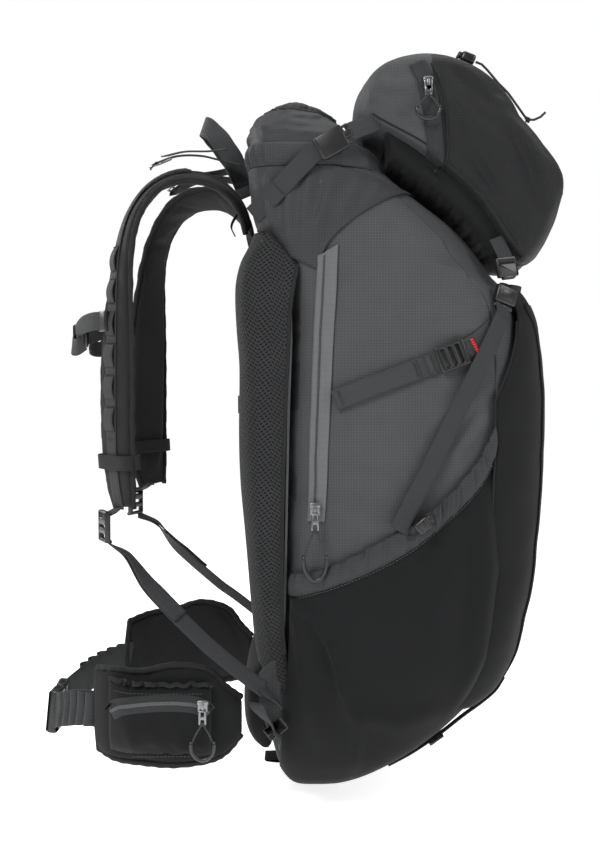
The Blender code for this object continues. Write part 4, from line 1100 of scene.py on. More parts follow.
def makeSidePockets():
    print("side pockets")
    for word, side in sides.items():
        def cloth(x, z, u, v):
            full = math.sin(math.pi * min(v / 0.94, 1.0)) ** 0.7
            edge = math.sin(math.pi * min(max(u, 0.0), 1.0)) ** 0.5
            rise = 0.0020 + 0.0085 * full * (0.25 + 0.75 * edge)
            rise += 1.6 * lineRise(x, z, sidePocket["folds"]) * (0.25 + 0.75 * min(1.0, v / 0.08))
            rise += 0.0010 * bump3(x, side, z, 26)
            return rise * min(1.0, 0.35 + v / 0.06)

        pocket = ruled(f"sidePocketCloth_{word}", side, sidePocket["foot"], sidePocket["hemSeam"], (84, 84),
                       0.0, "stretchCloth", 0.0012, 0.0, cloth)
        wear(pocket, "bag", "stretch", "side_pocket_" + word)
        random.seed(3)
        gathers = [(random.random(), random.uniform(0.006, 0.014), random.uniform(-0.5, 0.5))
                   for _ in range(34)]
        gathers += [(0.60 + 0.05 * random.random(), 0.007, random.uniform(-0.5, 0.5)) for _ in range(6)]

        def ruche(x, z, u, v):
            rise = 0.0042 + 0.0034 * math.sin(math.pi * v) ** 0.7
            for place, wide, slant in gathers:
                away = (u - place - slant * 0.04 * (v - 0.5)) / wide
                if abs(away) < 3:
                    rise += 0.0023 * math.exp(-away * away) * (0.3 + 0.7 * v)
            rise -= 0.0018 * math.exp(-((v - 0.04) / 0.05) ** 2)
            rise += 0.0010 * bump3(x, side, z, 90) * v
            return rise

        hem = ruled(f"pocketHem_{word}", side, sidePocket["hemSeam"], sidePocket["hemTop"], (200, 14),
                    0.0, "ripstopDark", 0.0016, 0.0, ruche)
        wear(hem, "bag", "ripstop")
        line = [(x, z - 0.0012) for x, z in sidePocket["hemSeam"]]
        path, normals = sidePath(side, line, 90, 0.0042, 0.0)
        wear(stitches(f"hemStitch_{word}", path, normals, "thread", 0.0026, 0.0012, 0.0007), "bag", "cord")
        # Barrel lock on the hem's elastic, and its button.
        barrel, button = f"pocket_lock_{word}", f"pocket_button_{word}"
        low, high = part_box(barrel)
        centre = (low + high) / 2
        along = Vector((0.7562, 0, 0.6543)).normalized()
        normal = Vector((0, side, 0))
        across = normal.cross(along)
        shell = block(f"hemLock_{word}", centre, (across, normal, along), (0.0130, 0.0100, 0.0165), "plastic",
                      0.0022, 3)
        ribs = [block(f"rib{k}", centre + along * (0.0045 * k) + normal * 0.0046, (across, normal, along),
                      (0.0100, 0.0016, 0.0016), "plastic", 0.0005) for k in (-1, 0, 1)]
        wear(joined(f"hemLock_{word}", [shell, *ribs]), barrel, "plastic", barrel)
        low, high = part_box(button)
        tip = (low + high) / 2 + along * 0.0010
        wear(block(f"hemLockButton_{word}", tip, (across, normal, along), (0.0078, 0.0050, 0.0070), "plastic",
                   0.0012, 2), button, "plastic", button)
        ends = [(0.1200, 0.2905), (0.1130, 0.2850), (0.1060, 0.2842)]
        path, normals = sidePath(side, ends, 10, 0.0108, 0.0)
        wear(tube(f"hemElastic_{word}", path, 0.0013, "cord"), "bag", "cord")


frontPocket = {"low": 0.100, "high": 0.540, "meshHalf": 27.0, "gap": 0.0034}


def frontOut(s, share):
    full = smooth([(0.0, 0.25), (0.03, 0.75), (0.12, 1.0), (0.50, 1.0), (0.86, 1.0), (0.94, 0.95),
                   (0.98, 0.75), (1.0, 0.35)], share)[0]
    return frontPocket["gap"] + 0.0030 + 0.0100 * full * (1 - abs(s) ** 3)


def frontLimit(z):
    return math.radians(64 - 27 * min(max((z - 0.42) / 0.09, 0.0), 1.0))


def makeFrontPocket():
    print("front pocket")
    rows = 110
    span = frontPocket["high"] - frontPocket["low"]

    def place(s, share, extra):
        z = frontPocket["low"] + span * share
        a = s * frontLimit(z)
        rise = 0.0022 * bump3(s, 0.2, share * 3.2, 2.4) * (1 - abs(s) ** 6)
        rise += 0.0016 * math.sin(share * 21 + 5 * s * s) * max(0.0, abs(s) - 0.42) * (1 - abs(s) ** 8)
        rise += 0.0010 * bump3(s, 0.7, share * 9, 2.0)
        p = skin(a, z, frontOut(s, share) + rise + extra)
        return atBag(p.x, p.y, p.z)

    grid = [[place(-1 + 2 * j / 108, i / (rows - 1), 0.0) for j in range(109)] for i in range(rows)]
    wear(sheetPiece("frontPocketCloth", grid, "stretchCloth", 0.0014), "bag", "stretch", "front_pocket")

    def meshShare(share):
        z = frontPocket["low"] + span * share
        return math.radians(frontPocket["meshHalf"]) / frontLimit(z) * min(1.0, 0.55 + share * 2.2)

    grid = []
    for i in range(rows):
        share = 0.02 + 0.93 * i / (rows - 1)
        wide = meshShare(share)
        grid.append([place(wide * (-1 + 2 * j / 64), share, 0.0011) for j in range(65)])
    wear(sheetPiece("frontMeshPanel", grid, "openMesh", 0.0012), "bag", "mesh")
    for word, side in sides.items():
        path, across = [], []
        for i in range(100):
            share = 0.02 + 0.93 * i / 99
            wide = meshShare(share)
            a = place(side * (wide - 0.03), share, 0.0018)
            b = place(side * (wide + 0.03), share, 0.0012)
            path.append((a + b) / 2)
            across.append(b - a)
        wear(band(f"frontPocketBinding_{word}", path, across, 0.0055, 0.0014, "darkWebbing"), "bag",
             "webbing")
        # Seam between the front pocket and the side, down the front edge.
        path = []
        for i in range(90):
            z = 0.110 + (0.500 - 0.110) * i / 89
            p = skin(frontLimit(z) * 1.005, z, 0.0052)
            path.append(atBag(p.x, side * p.y, p.z))
        wear(tube(f"frontSeam_{word}", path, 0.0013, "darkWebbing"), "bag", "webbing")
    path = [place(-0.97 + 1.94 * i / 60, 0.985, 0.0012) for i in range(61)]
    wear(band("frontPocketTopBinding", path, (0.2, 0, 1), 0.009, 0.0016, "darkWebbing"), "bag", "webbing")


# ---- straps and zip on the body ----
def webOnSide(name, side, line, count, out, width, finish, rises=1.0, thick=0.0016):
    path, normals = sidePath(side, line, count, out + thick / 2, rises)
    across = []
    for i in range(count):
        ahead = path[min(i + 1, count - 1)] - path[max(i - 1, 0)]
        across.append(normals[i].cross(ahead).normalized())
    return band(name, path, across, width, thick, finish), path, across, normals


sideStraps = {
    "compression": [(0.037, 0.4202), (0.085, 0.4390), (0.1398, 0.4601), (0.170, 0.474), (0.192, 0.492)],
    "diagonal": [(0.0985, 0.2900), (0.129, 0.354), (0.1535, 0.4081), (0.180, 0.463), (0.1985, 0.505)],
}


def makeSideStraps():
    print("side straps")
    for word, side in sides.items():
        line = sideStraps["compression"]
        strap = webOnSide(f"compressionStrap_{word}", side, line, 40, 0.0026, 0.020, "plainWebbing", 0.5)[0]
        parts = [strap]
        # The sewn end is folded over, with a turned corner.
        fold = [(0.0365, 0.4200), (0.060, 0.4292), (0.090, 0.4409), (0.118, 0.4518)]
        parts.append(webOnSide("fold", side, fold, 20, 0.0043, 0.0198, "plainWebbing", 0.5)[0])
        end = [(0.126, 0.4548), (0.131, 0.4568)]
        parts.append(webOnSide("end", side, end, 6, 0.0043, 0.0200, "plainWebbing", 0.5)[0])
        strap = joined(f"compressionStrap_{word}", parts)
        wear(strap, "bag", "webbing", "compression_strap_" + word)

        def crossSeam(name, at, finish, size=0.0006, half=0.0085, tilt=0.0):
            p, n = sidePath(side, [(at[0] - 0.002, at[1] - 0.0008), at, (at[0] + 0.002, at[1] + 0.0008)], 3,
                            0.0062, 0.5)
            ahead = (p[2] - p[0]).normalized()
            wide = n[1].cross(ahead).normalized()
            seam = [p[1] + wide * (half * (k / 4 - 1)) + ahead * tilt * (k / 4 - 1) for k in range(9)]
            return stitches(name, seam, n[1], finish, 0.0021, 0.0006, size)

        seams = [crossSeam(f"s{k}", at, "darkThread") for k, at in
                 enumerate([(0.0430, 0.4225), (0.0445, 0.4231), (0.1160, 0.4511), (0.1145, 0.4505)])]
        wear(joined(f"strapStitch_{word}", seams), "bag", "cord")
        tack = [crossSeam(f"t{k}", (0.1702 + 0.0006 * k, 0.4742 + 0.0003 * k), "redThread", 0.0011, 0.0088,
                          -0.0012) for k in range(4)]
        wear(joined(f"redTack_{word}", tack), "bag", "cord")

        centre, normal = sidePath(side, [(0.146, 0.4628), (0.1495, 0.4642), (0.153, 0.4656)], 3, 0.0062, 0.5)
        ahead = (centre[2] - centre[0]).normalized()
        wide = normal[1].cross(ahead).normalized()
        slots = [((-0.0078, 0), (0.0036, 0.0195)), ((0.0, 0), (0.0036, 0.0195)),
                 ((0.0078, 0), (0.0036, 0.0195))]
        lock = block(f"ladderLock_{word}", centre[1], (ahead, wide, normal[1]), (0.031, 0.0265, 0.0046),
                     "plastic",
                     0.0016, 3, slots)
        low = block("pad", centre[1] - normal[1] * 0.0018, (ahead, wide, normal[1]), (0.024, 0.020, 0.0010),
                    "plastic", 0.0003)
        grip = [block(f"g{k}", centre[1] + ahead * (0.0039 * k) + normal[1] * 0.0020, (ahead, wide,
                normal[1]),
                      (0.0022, 0.021, 0.0026), "plastic", 0.0008) for k in (-1, 1)]
        wear(joined(f"ladderLock_{word}", [lock, low, *grip]), "bag", "plastic", "ladder_lock_" + word)

        strap, path, across = webOnSide(f"diagonalStrap_{word}", side, sideStraps["diagonal"], 50, 0.0072,
                                        0.018, "webbing", 0.2)[:3]
        top = path[-1]
        tail = [top, top.lerp(atBag(0.2055, side * 0.1275, 0.5145), 0.55),
                atBag(0.2050, side * 0.1285, 0.5165)]
        more = band("tail", spread(tail, 8), [across[-1]] * 8, 0.018, 0.0016, "webbing")
        wear(joined(f"diagonalStrap_{word}", [strap, more]), "bag", "webbing", "front_strap_" + word)
        makeFrontBuckle(word, side)


def makeFrontBuckle(word, side):
    # Side-release buckle between the diagonal strap and the lid: the socket rides on the bag and
    # the tongue on the lid.
    foot = atBag(0.2058, side * 0.1275, 0.5150)
    top = atBag(0.2110, side * 0.1250, 0.5345)
    ahead = (top - foot).normalized()
    normal = Vector((0.42, side * 0.90, 0))
    normal = (normal - ahead * normal.dot(ahead)).normalized()
    wide = normal.cross(ahead)
    parts = [
        block("body", foot.lerp(top, 0.55), (ahead, wide, normal), (0.0185, 0.0245, 0.0078), "plastic",
              0.0022, 3),
        block("bar", foot - ahead * 0.0010, (ahead, wide, normal), (0.0050, 0.0225, 0.0040), "plastic",
              0.0014),
        block("mark", foot.lerp(top, 0.55) + normal * 0.0038, (ahead, wide, normal),
              (0.0100, 0.0130, 0.0012), "plastic", 0.0005),
    ]
    wear(joined(f"frontBuckleSocket_{word}", parts), "bag", "plastic")
    centre = atBag(0.2103, side * 0.1211, 0.5530)
    up = (atBag(0.2078, side * 0.1195, 0.5650) - atBag(0.2126, side * 0.1228, 0.5420)).normalized()
    normal = (normal - up * normal.dot(up)).normalized()
    wide = normal.cross(up)
    slots = [((0.0058, 0), (0.0040, 0.0175))]
    parts = [
        block("frame", centre + up * 0.0015, (up, wide, normal), (0.0205, 0.0240, 0.0066), "plastic",
              0.0018, 3, slots),
        block("nose", centre - up * 0.0090, (up, wide, normal), (0.0040, 0.0150, 0.0050), "plastic",
              0.0012),
    ]
    wear(joined(f"frontBuckleTongue_{word}", parts), "lid", "plastic", "lid_buckle_" + word)
    web = spread([centre + up * 0.0060 + normal * 0.0005, centre + up * 0.0130 + normal * 0.0018,
                  atBag(0.2050, side * 0.1190, 0.5740), atBag(0.2000, side * 0.1180, 0.5850)], 10)
    wear(band(f"frontLidWeb_{word}", web, [wide] * 10, 0.0175, 0.0015, "webbing"), "lid", "webbing")


def coil(name, path, normals, finish, half=0.0021, pitch=0.0017, tall=0.0011):
    # The teeth of a coil zip: short bars across, on either side of a middle groove.
    reach = runs(path)
    points, faces = [], []
    at, i = 0.0, 0
    while at < reach[-1]:
        while i < len(path) - 2 and reach[i + 1] < at:
            i += 1
        share = (at - reach[i]) / max(reach[i + 1] - reach[i], 1e-9)
        p = path[i].lerp(path[i + 1], share)
        ahead = (path[i + 1] - path[i]).normalized()
        normal = normals[i] if isinstance(normals, list) else normals
        wide = ahead.cross(normal).normalized()
        for way in (-1, 1):
            start = len(points)
            near, far = p + wide * way * 0.0002, p + wide * way * half
            shift = ahead * (pitch * 0.25 * way)
            for q, high in ((near, tall), (near.lerp(far, 0.6), tall), (far, tall * 0.4)):
                for w in (-1, 1):
                    points.append(q + shift + ahead * (w * pitch * 0.26) + normal * high)
            for q in (far, near):
                for w in (1, -1):
                    points.append(q + shift + ahead * (w * pitch * 0.26) - normal * 0.0006)
            s = start
            faces += [(s, s + 2, s + 3, s + 1), (s + 2, s + 4, s + 5, s + 3), (s + 4, s + 7, s + 6, s + 5),
                      (s + 7, s + 9, s + 8, s + 6), (s + 9, s, s + 1, s + 8),
                      (s, s + 9, s + 7, s + 4, s + 2), (s + 1, s + 3, s + 5, s + 6, s + 8)]
        at += pitch
    return meshPiece(name, points, faces, finish, [(0, 0)] * len(points), soft=False)


def makeSideZip():
    print("side zip")
    side = sides["left"]
    line = seamLines["zip"]

    def bend(x, z, u, v):
        middle = smooth([(b, a) for a, b in line], min(max(z, 0.311), 0.563))[0]
        away = x - middle
        groove = -0.0006 * math.exp(-(away / 0.0010) ** 2)
        welt = 0.0010 * math.exp(-((away + 0.0046) / 0.0016) ** 2)
        welt += 0.0008 * math.exp(-((away - 0.0045) / 0.0013) ** 2)
        return 0.0010 + groove + welt - 0.0004 * (abs(u - 0.5) * 2) ** 6

    # Ruled across: one long edge to the other, so that it follows the teeth.
    leftEdge = [(x - 0.0066, z) for x, z in [(0.0152, 0.2980)] + line]
    rightEdge = [(x + 0.0090 + 0.0009 * k, z) for k, (x, z) in enumerate([(0.0160, 0.2980)] + line)]
    rightEdge[-1] = (rightEdge[-1][0], 0.5760)

    def across(x, z, u, v):
        return bend(x, z, v, u)

    tape = ruled("sideZipTape", side, leftEdge, rightEdge, (150, 26), 0.0, "zipTape", 0.0012, 0.6, across)
    path, normals = sidePath(side, line, 160, 0.0016, 0.6)
    teeth = coil("teeth", path, normals, "darkTape", 0.0016, 0.0016, 0.0006)
    wear(tape, "bag", "zip_tape", "side_zip")
    teeth.name = "sideZipTeeth"
    wear(teeth, "bag", "zip_tape")
    for shift, label in ((-0.0052, "a"), (0.0074, "b")):
        moved = [(x + shift, z) for x, z in line]
        path, normals = sidePath(side, moved, 80, 0.0018, 0.6)
        wear(stitches(f"zipStitch_{label}", path, normals, "thread", 0.0026, 0.0012, 0.0005), "bag", "cord")
    low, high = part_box("side_zip_slider")
    makeSlider("sideSlider", (low + high) / 2, side, "side_slider", "side_zip_slider")
    makePuller("sidePuller", "side_zip_ring", side, "side_puller")


def makeSlider(name, centre, side, body, node, tall=0.0135, wide=0.0100):
    out = Vector((0, side, 0))
    axes = (Vector((1, 0, 0)), Vector((0, 0, 1)), out)
    parts = [
        block("base", centre, axes, (wide, tall, 0.0030), "metal", 0.0012, 3),
        block("neck", centre + Vector((0, 0, tall * 0.28)), axes, (wide * 1.15, tall * 0.36, 0.0032), "metal",
              0.0012, 3),
        block("bridge", centre + out * 0.0022 + Vector((0, 0, -0.0005)), axes, (0.0030, tall * 0.62, 0.0028),
              "metal",
              0.0010, 3),
    ]
    wear(joined(name, parts), body, "metal", node)


def makePuller(name, node, side, body):
    # Metal tab, two knotted cords and a moulded ring end, all within the frame's loop.
    low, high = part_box(node)
    middle = (low + high) / 2
    wide, tall = high.x - low.x, high.z - low.z
    x, y = middle.x, middle.y
    out = Vector((0, side, 0))
    top = high.z - 0.0010
    tabTall = min(0.017, tall * 0.27)
    slots = [((0, tabTall * 0.24), (0.0034, tabTall * 0.32)), ((0, -tabTall * 0.24), (0.0034,
            tabTall * 0.20))]
    tab = block(name + "Tab", Vector((x, y, top - tabTall / 2)), ((1, 0, 0), (0, 0, 1), out), (0.0078,
            tabTall, 0.0018),
                "metal", 0.0007, 2, slots)
    knotHeight = top - tabTall * 1.02
    ringHigh = low.z + tall * 0.36
    reach = wide / 2 - 0.0018
    cords = []
    for way in (-1, 1):
        path = spread([Vector((x + way * 0.0006, y, knotHeight + 0.003)), Vector((x + way * 0.0012, y,
                knotHeight)),
                       Vector((x + way * reach * 0.52, y + side * 0.0004,
                               knotHeight * 0.5 + ringHigh * 0.5 + 0.001)),
                       Vector((x + way * reach * 0.93, y, ringHigh))], 12)
        cords.append(tube(f"c{way}", path, 0.0009, "greyCord"))
        cords.append(tube(f"k{way}", [path[0].lerp(path[2], k / 3) for k in range(4)], 0.0015, "greyCord"))
    cordPiece = joined(name + "Cord", cords)
    arc = []
    for k in range(25):
        a = math.pi * k / 24
        arc.append(Vector((x + reach * math.cos(a), y,
                           ringHigh - 0.002 - math.sin(a) * (ringHigh - 0.002 - low.z - 0.0019))))
    arc = [arc[0] + Vector((0, 0, 0.004))] + arc + [arc[-1] + Vector((0, 0, 0.004))]
    radii = [0.0016] + [0.0019 + 0.0003 * math.sin(math.pi * k / 24) for k in range(25)] + [0.0016]
    ring = tube(name, arc, 0.0019, "ringPlastic", around=12, radii=radii)
    wear(ring, body, "plastic", node)
    wear(tab, body, "metal")
    wear(cordPiece, body, "cord")


# ---- lid ----
lidShape = {
    "outline": [
        (0.0600, 0.703), (0.0555, 0.724), (0.058, 0.746), (0.071, 0.764), (0.092, 0.775), (0.125, 0.780),
        (0.1550, 0.775), (0.184, 0.762), (0.211, 0.739), (0.231, 0.712), (0.255, 0.681), (0.275, 0.652),
        (0.2790, 0.632), (0.268, 0.602), (0.254, 0.570), (0.243, 0.553), (0.229, 0.553), (0.217, 0.567),
        (0.2040, 0.588), (0.179, 0.622), (0.150, 0.648), (0.110, 0.677), (0.080, 0.694),
    ],
    "centre": (0.155, 0.672), "half": 0.125,
    "slices": [
        (-1.0, 0.80), (-0.975, 0.86), (-0.93, 0.905), (-0.86, 0.94), (-0.78, 0.958), (-0.6, 0.978),
        (-0.4, 0.99), (-0.2, 0.998), (0.0, 1.0), (0.2, 0.998), (0.4, 0.99), (0.6, 0.978), (0.78, 0.958),
        (0.86, 0.94), (0.93, 0.905), (0.975, 0.86), (1.0, 0.80),
    ],
    "folds": [  # on the lid's side: a line, half width, rise
        ([(0.130, 0.745), (0.100, 0.735), (0.070, 0.740)], 0.008, 0.0030),
        ([(0.128, 0.715), (0.095, 0.712), (0.068, 0.722)], 0.006, -0.0030),
        ([(0.146, 0.735), (0.172, 0.700), (0.214, 0.668)], 0.009, 0.0034),
        ([(0.148, 0.760), (0.180, 0.730), (0.214, 0.705)], 0.007, -0.0026),
        ([(0.225, 0.690), (0.250, 0.640), (0.262, 0.600)], 0.009, 0.0040),
        ([(0.066, 0.742), (0.085, 0.728), (0.112, 0.724)], 0.006, -0.0024),
        ([(0.080, 0.718), (0.120, 0.690), (0.150, 0.664)], 0.007, 0.0020),
        ([(0.165, 0.700), (0.196, 0.650), (0.222, 0.590)], 0.008, 0.0026),
        ([(0.175, 0.668), (0.205, 0.624), (0.228, 0.574)], 0.006, -0.0030),
        ([(0.205, 0.700), (0.232, 0.655), (0.246, 0.600)], 0.008, -0.0022),
        ([(0.195, 0.720), (0.225, 0.690), (0.250, 0.650)], 0.006, 0.0016),
    ],
}


def lidRing(slice, scale, step=4):
    line = [(x, z, 0) for x, z in lidShape["outline"]]
    line = spread(line + [line[0]], 23 * step + 1)[:-1]
    cx, cz = lidShape["centre"]
    return [(cx + (p.x - cx) * scale, slice * lidShape["half"], cz + (p.y - cz) * scale) for p in line]


def makeLid():
    print("lid")
    rings = []
    for k in range(37):
        s = -1 + 2 * k / 36
        s = math.copysign(abs(s) ** 0.85, s)
        ring = lidRing(s, smooth(lidShape["slices"], s)[0])
        shown = []
        for x, y, z in ring:
            cx, cz = lidShape["centre"]
            shown.append(atBag(cx + (x - cx) * 0.985, y * 0.975, cz + (z - cz) * 0.985))
        rings.append(shown)
    bag = loftPiece("lidBag", rings, "ripstopLid")
    swell(bag, 0.0042, 0.005, 3.0)
    # Creases, pinched seams and the dent that the zip pulls into each end.
    for v in bag.data.vertices:
        p = v.co - bagFoot
        side = 1.0 if p.y > 0 else -1.0
        flank = min(1.0, max(0.0, (abs(p.y) - 0.075) / 0.035))
        rise = 1.5 * lineRise(p.x, p.z, lidShape["folds"]) * flank
        rise += 0.0030 * bump3(p.x, p.y, p.z, 14) + 0.0010 * bump3(p.x, p.y, p.z, 40)
        front = min(1.0, max(0.0, (p.x - 0.175) / 0.03)) * (1 - flank)
        rise -= 0.0022 * front * math.exp(-((abs(p.y) - 0.066) / 0.006) ** 2)
        rise += 0.0014 * front * math.sin(p.z * 190 + 2 * math.sin(p.y * 60)) * (1 - min(1.0,
                abs(p.y) / 0.066)) ** 0.5
        v.co += Vector((0, side * rise * flank, 0)) + v.normal * rise * (1 - flank)
    bag.data.materials.append(finishes["ripstopTop"])
    for face in bag.data.polygons:
        p = face.center - bagFoot
        if p.x < 0.1330 + 0.10 * max(0.0, 0.70 - p.z) and p.z > 0.62:
            face.material_index = 1
    wear(bag, "lid", "ripstop_dark", "lid_pocket")
    return bag


def surfaceTree(obj):
    bpy.context.view_layer.update()
    return BVHTree.FromObject(obj, bpy.context.evaluated_depsgraph_get())


def fromSide(tree, side, x, z, out, default=0.125):
    start = atBag(x, side * 0.25, z)
    hit, normal = tree.ray_cast(start, Vector((0, -side, 0)))[:2]
    if hit is None or abs(hit.y) < 0.06:
        return atBag(x, side * default, z), Vector((0, side, 0))
    if normal.y * side < 0:
        normal = -normal
    return hit + Vector((0, side * out, 0)), normal


def fromFront(tree, x, y, z, out):
    # Down onto the lid's front slope from outside.
    way = Vector((0.72, 0, 0.69))
    start = atBag(x, y, z) + way * 0.15
    hit, normal = tree.ray_cast(start, -way)[:2]
    if hit is None:
        return atBag(x, y, z), way
    if normal.dot(way) < 0:
        normal = -normal
    return hit + normal * out, normal


lidParts = {
    "zip": [
        (0.118, 0.76), (0.1215, 0.752), (0.126, 0.74), (0.13, 0.725), (0.1335, 0.706), (0.1365, 0.682),
        (0.138, 0.658),
    ],
    "welt": [
        (0.115, 0.7655), (0.133, 0.759), (0.142, 0.738), (0.1475, 0.706), (0.15, 0.674), (0.1475, 0.66),
        (0.142, 0.6535), (0.135, 0.651),
    ],
    "loops": [
        (0.188, 0.76), (0.2065, 0.7445), (0.222, 0.725), (0.237, 0.705), (0.252, 0.685), (0.2665, 0.665),
        (0.278, 0.643),
    ],
}


def makeLidDetails(bag):
    print("lid details")
    tree = surfaceTree(bag)
    left = sides["left"]
    # Zip down the wearer's left end and a welt beside it, which loops round its foot.
    line = lidParts["zip"]
    grid, rows = [], 70
    flat = spread([(x, z, 0) for x, z in line], rows)
    for i in range(rows):
        ahead = (flat[min(i + 1, rows - 1)] - flat[max(i - 1, 0)]).normalized()
        wide = Vector((ahead.y, -ahead.x, 0))
        row = []
        for j in range(11):
            t = -1 + 2 * j / 10
            p = flat[i] + wide * -(t * 0.0085)
            lift = 0.0009 + 0.0007 * math.exp(-((abs(t) - 0.62) / 0.14) ** 2) - 0.0004 * abs(t) ** 8
            row.append(fromSide(tree, left, p.x, p.y, lift)[0])
        grid.append(row)
    wear(sheetPiece("lidZipTape", grid, "darkTape", 0.0010), "lid", "zip_tape", "lid_zip")
    path = [grid[i][5] for i in range(rows)]
    wear(coil("lidZipTeeth", path, Vector((0, left, 0)), "darkTape", 0.0017, 0.0017, 0.0010), "lid",
         "zip_tape")
    welt = lidParts["welt"]
    path = [fromSide(tree, left, p.x, p.y, 0.0004)[0] for p in spread([(x, z, 0) for x, z in welt[1:]], 60)]
    wear(tube("lidWelt", path, 0.0013, "ripstopLid"), "lid", "ripstop_dark")
    low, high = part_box("lid_zip_slider")
    makeSlider("lidSlider", (low + high) / 2, left, "lid_slider", "lid_zip_slider", 0.0125, 0.0090)
    makePuller("lidPuller", "lid_zip_ring", left, "lid_puller")
    # Seams: down both ends from the top, and round the skirt.
    for word, side in sides.items():
        seam = spread([(0.072, 0.7060, 0), (0.080, 0.7000, 0), (0.120, 0.6780, 0), (0.155, 0.6530, 0),
                       (0.185, 0.6250, 0), (0.210, 0.5900, 0), (0.220, 0.5750, 0)], 90)
        path = [fromSide(tree, side, p.x + 0.002, p.y + 0.004, 0.0002)[0] for p in seam]
        wear(tube(f"lidSkirtSeam_{word}", path, 0.0010, "ripstopLid"), "lid", "ripstop_dark")
        if side > 0:
            seam = spread([(0.1180, 0.7600, 0), (0.1300, 0.7250, 0), (0.1380, 0.6600, 0)], 40)
            path = [fromSide(tree, side, p.x, p.y, 0.0002)[0] for p in seam]
            wear(tube(f"lidEndSeam_{word}", path, 0.0011, "ripstopLid"), "lid", "ripstop_dark")
    # Row of webbing loops down each side of the front slope, and the elastic laced through them.
    stations = lidParts["loops"]
    anchors = {}
    for word, side in sides.items():
        anchors[word] = []
        loops = []
        for k, (x, z) in enumerate(stations):
            foot, normal = fromFront(tree, x, side * 0.066, z, 0.0)
            anchors[word].append((foot, normal))
            up = Vector((normal.z, 0, -normal.x)).normalized()
            arc = [foot + up * (0.0065 * math.cos(a)) + normal * (0.0040 * math.sin(a) + 0.0004)
                   for a in [math.pi * t / 10 for t in range(11)]]
            loops.append(band(f"l{k}", arc, (0, 1, 0), 0.0100, 0.0014, "darkWebbing"))
        strip = []
        for k in range(60):
            t = k / 59 * (len(stations) - 1)
            i = min(int(t), len(stations) - 2)
            x = stations[i][0] + (stations[i + 1][0] - stations[i][0]) * (t - i)
            z = stations[i][1] + (stations[i + 1][1] - stations[i][1]) * (t - i)
            strip.append(fromFront(tree, x, side * 0.066, z, 0.0008)[0])
        loops.append(band("strip", strip, (0, 1, 0), 0.0110, 0.0012, "darkWebbing"))
        wear(joined(f"lidLoops_{word}", loops), "lid", "webbing")
    path = []
    for k in range(6):
        for word in (("left", "right") if k % 2 == 0 else ("right", "left")):
            foot, normal = anchors[word][k if word == ("left" if k % 2 == 0 else "right") else k + 1]
            path.append(foot + normal * 0.0024)
    lace = []
    for a, b in zip(path, path[1:]):
        for k in range(12):
            p = a.lerp(b, k / 12)
            q = p - bagFoot
            on = fromFront(tree, q.x, q.y, q.z, 0.0016)[0]
            lace.append(on if (on - p).length < 0.02 else p)
    lace.append(path[-1])
    wear(tube("lidLacing", lace, 0.00145, "cord"), "lid", "cord", "lid_bungee")
    makeLidSkirt()
    makeLidStraps()


def makeLidSkirt():
    # Gathered elastic edge under the lid that lies against the bag's shoulder.
    walls = [surfaceTree(bpy.data.objects[name]) for name in
             ("frontWall", "mainPanel_left", "mainPanel_right", "upperPanel_left", "upperPanel_right",
              "rimBand")]
    line = spread([(0.2230, 0.5620, 0), (0.2040, 0.5900, 0), (0.1790, 0.6230, 0), (0.1500, 0.6490, 0),
                   (0.1100, 0.6780, 0), (0.0880, 0.6910, 0)], 64)
    rings = []
    for i, spot in enumerate(line):
        ahead = (line[min(i + 1, 63)] - line[max(i - 1, 0)]).normalized()
        down = Vector((ahead.y, 0, -ahead.x))
        down = down if down.z < 0 else -down
        ends = min(1.0, i / 6, (63 - i) / 6)
        ring = []
        for k in range(29):
            y = 0.111 * math.sin((k / 28 - 0.5) * math.pi)
            start = atBag(spot.x, y, spot.y) - down * 0.008
            reach = 0.030
            for wall in walls:
                hit, away = wall.ray_cast(start, down, 0.05)[::3]
                if hit is not None:
                    reach = min(reach, away - 0.0022)
            fold = 0.0007 * math.sin(i * 1.9 + 0.7 * math.sin(k)) + 0.0005 * math.sin(i * 0.8)
            edge = 1 - abs(2 * k / 28 - 1) ** 8
            drop = reach * (0.55 + 0.45 * edge) * (0.4 + 0.6 * ends) - 0.0006 + fold
            ring.append(start + down * max(0.004, drop))
        for k in range(27, 0, -2):
            y = 0.106 * math.sin((k / 28 - 0.5) * math.pi)
            ring.append(atBag(spot.x, y, spot.y) - down * 0.010)
        rings.append(ring)
    wear(loftPiece("lidSkirt", rings, "stretchCloth"), "lid", "stretch")


rearLidStrap = {
    "path": [
        (-0.048, 0.1228, 0.6065), (-0.036, 0.1295, 0.617), (-0.022, 0.135, 0.631), (-0.004, 0.1352, 0.65),
        (0.014, 0.135, 0.668), (0.023, 0.1352, 0.674),
    ],
}


